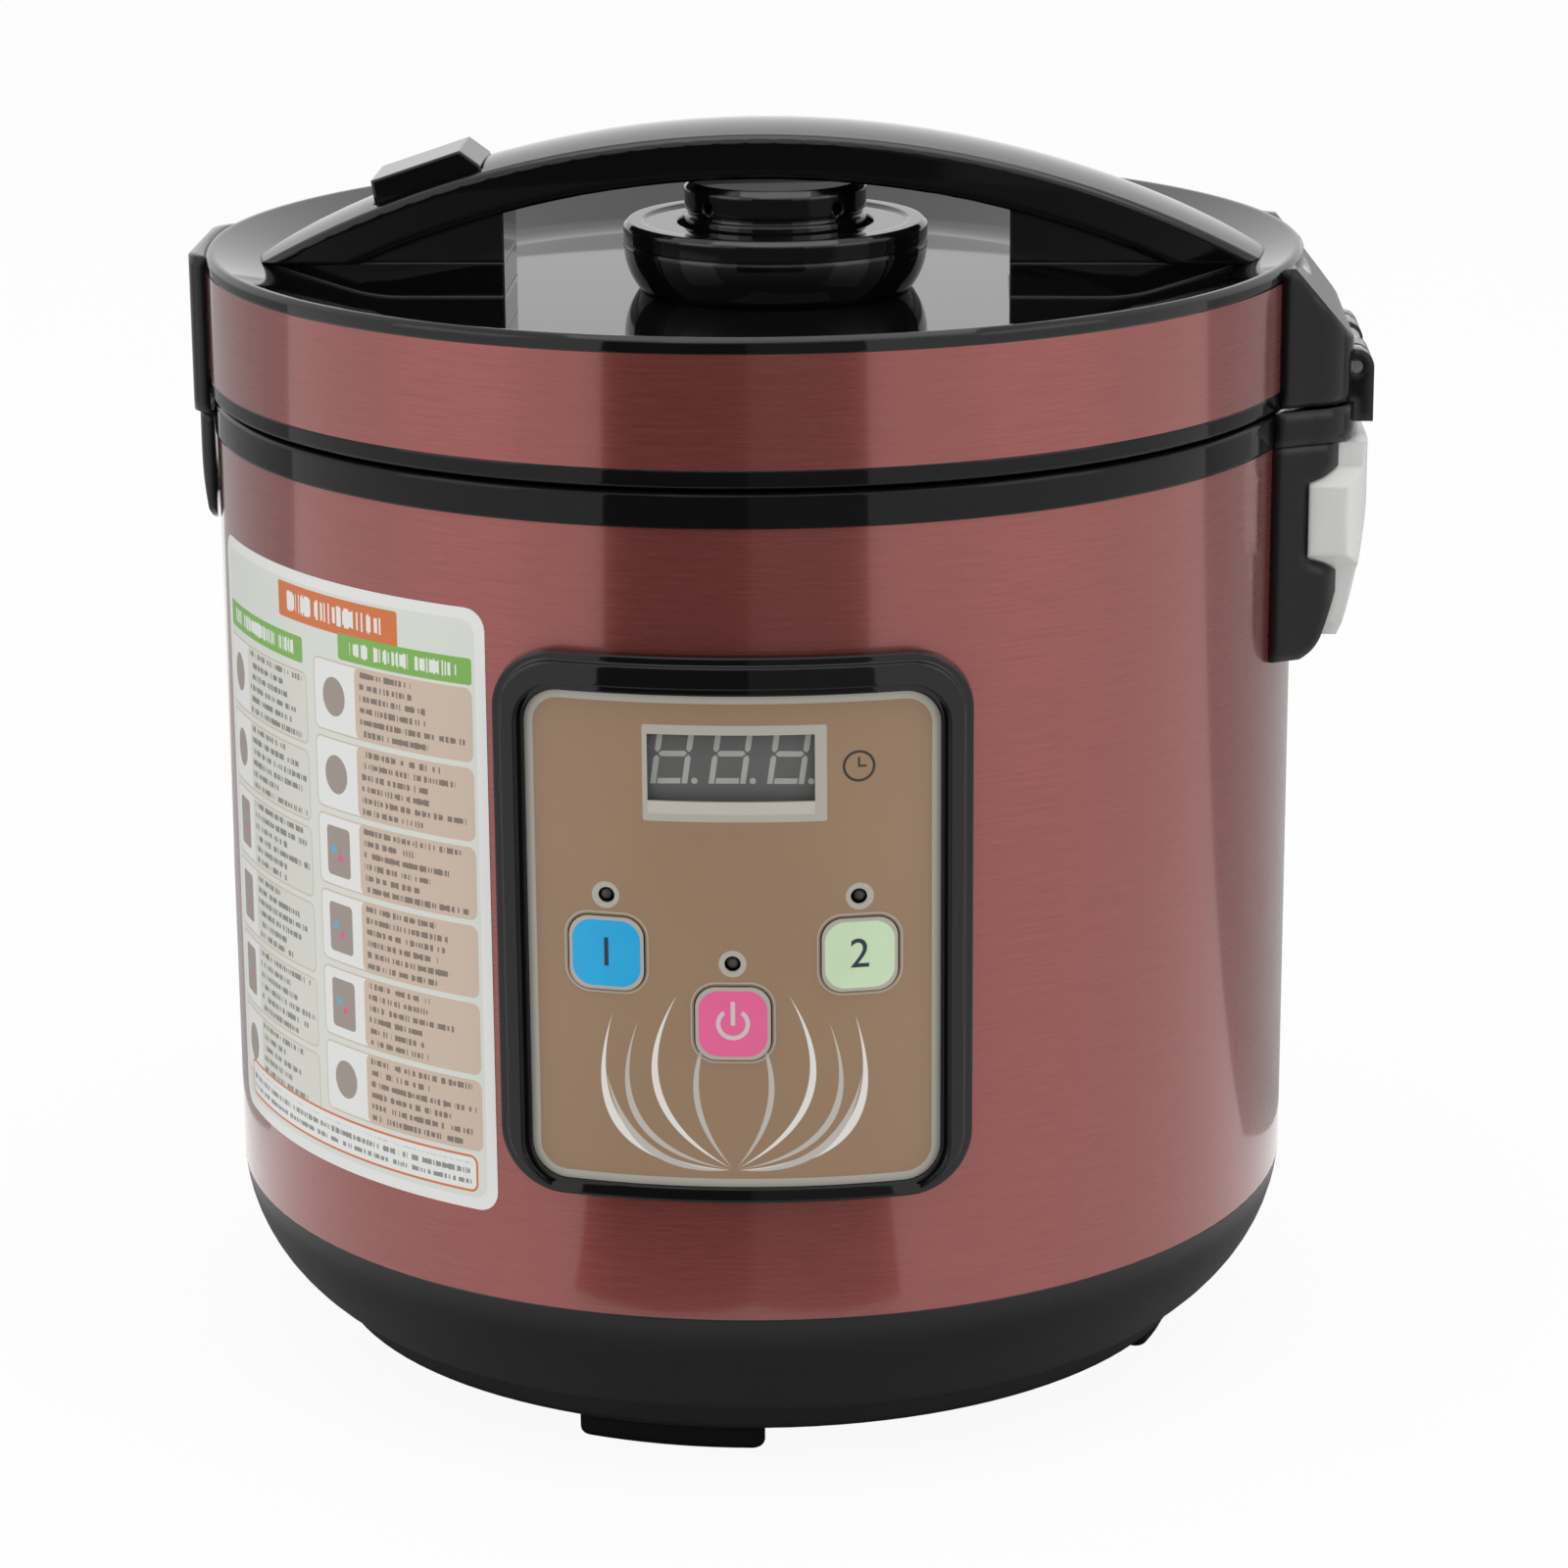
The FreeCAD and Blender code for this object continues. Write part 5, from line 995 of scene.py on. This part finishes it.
def reflection_flag(bm, name, tone):
    """Studio flag which only reflections see."""
    flag = stage_piece(bm, name, moulded(name + "_cloth", (tone, tone, tone), roughness=0.9))
    for rays in ("camera", "diffuse", "shadow", "transmission", "volume_scatter"):
        setattr(flag, "visible_" + rays, False)


def sheet_between(corners):
    """Flat sheet between a few corners."""
    bm = bmesh.new()
    bm.faces.new([bm.verts.new(corner) for corner in corners])
    return bm


def floor_sector(start, stop, near, far):
    """Corners of a floor sheet between two azimuths in degrees, from the panel towards the hinge."""
    return [(reach * math.sin(math.radians(side)), -reach * math.cos(math.radians(side)), flag_lift)
            for side, reach in ((start, near), (stop, near), (stop, far), (start, far))]


floor_half = 12.0
floor_drop = -0.0002
floor_tone = (0.88, 0.88, 0.88)
floor_white_share = 0.93
studio_floor = bmesh.new()
bmesh.ops.create_grid(studio_floor, x_segments=1, y_segments=1, size=floor_half)
bmesh.ops.translate(studio_floor, vec=(0, 0, floor_drop), verts=studio_floor.verts)
stage_piece(studio_floor, "studio_floor", studio_material("floor_white", floor_tone, floor_white_share))

# Flags in front of the panel, on the floor and up from its far end: name, azimuths and tone
flag_lift = 0.001
flag_near = 0.24
flag_far = 2.6
flag_high = 1.2
side_flag_tone = 0.42
for flag, start, stop, tone in (("dark_flag", -27.0, 1.0, 0.010), ("grey_flag", 1.0, 24.0, 0.16)):
    corners = floor_sector(start, stop, flag_near, flag_far)
    reflection_flag(sheet_between(corners), flag + "_floor", tone)
    foot = corners[2:]
    top = [(x, y, flag_high) for x, y, z in reversed(foot)]
    reflection_flag(sheet_between(foot + top), flag + "_wall", tone)
# Flags on the floor at both sides of the back: name and azimuths
for flag, start, stop in (("left_flag", -105.0, -150.0), ("right_flag", 105.0, 172.0)):
    corners = floor_sector(start, stop, flag_near, 2.0 * flag_far)
    reflection_flag(sheet_between(corners), flag, side_flag_tone)

# The floor under the object is dark in the bowl's reflections, as it is in its shadow
shade_sides = 24
shade_reach = 0.17
shade_tone = 0.35
shade = bmesh.new()
bmesh.ops.create_circle(shade, cap_ends=True, segments=shade_sides, radius=shade_reach)
bmesh.ops.translate(shade, vec=(0, 0, floor_drop / 2), verts=shade.verts)
reflection_flag(shade, "shade_flag", shade_tone)


def soft_light(name, place, aim, size, power):
    """Softbox that points at a place."""
    light = bpy.data.lights.new(name, "AREA")
    light.shape = "RECTANGLE"
    light.size, light.size_y = size
    light.energy = power
    lamp = bpy.data.objects.new(name, light)
    bpy.context.scene.collection.objects.link(lamp)
    lamp.location = place
    lamp.rotation_euler = (Vector(aim) - Vector(place)).to_track_quat("-Z", "Y").to_euler()


soft_light("top_softbox", place=(0.1, -0.3, 2.2), aim=(0, 0, 0.2), size=(1.8, 1.8), power=16.0)
soft_light("left_softbox", place=(-1.9, -1.1, 1.0), aim=(0, 0, 0.15), size=(1.2, 1.8), power=9.0)
soft_light("right_softbox", place=(1.9, -1.0, 1.1), aim=(0, 0, 0.15), size=(1.2, 1.8), power=9.0)

sky_strength = 0.70
world = bpy.data.worlds.new("studio")
bpy.context.scene.world = world
world.use_nodes = True
sky = Finish(world.node_tree)
background = world.node_tree.nodes["Background"]
background.inputs["Color"].default_value = (1.0, 1.0, 1.0, 1.0)
sky.put(background.inputs["Strength"], sky.span(seen_rays(sky), 0.0, 1.0, sky_strength, 1.0))

bpy.context.scene.view_settings.view_transform = "Standard"

# Camera, fitted to the photograph's 1600 x 1600 frame
image_size = 1600
focal_pixels = 4907.75
camera_distance = 1.130
camera_height = 0.4536
camera_side = math.radians(2.7)
camera_yaw = 0.0054
camera_pitch = 0.2779
camera_roll = -0.0069
sensor = 36.0

lens = bpy.data.cameras.new("photo_camera")
lens.sensor_width = sensor
lens.sensor_height = sensor
lens.sensor_fit = "HORIZONTAL"
lens.lens = focal_pixels / image_size * sensor
lens.clip_end = 100.0
camera = bpy.data.objects.new("photo_camera", lens)
bpy.context.scene.collection.objects.link(camera)
turn = Matrix.Rotation(camera_side - camera_yaw, 3, "Z")
tilt = Matrix.Rotation(math.pi / 2 - camera_pitch, 3, "X")
camera.location = Matrix.Rotation(camera_side, 3, "Z") @ Vector((0, -camera_distance, camera_height))
camera.rotation_euler = (turn @ tilt @ Matrix.Rotation(camera_roll, 3, "Z")).to_euler()
bpy.context.scene.camera = camera
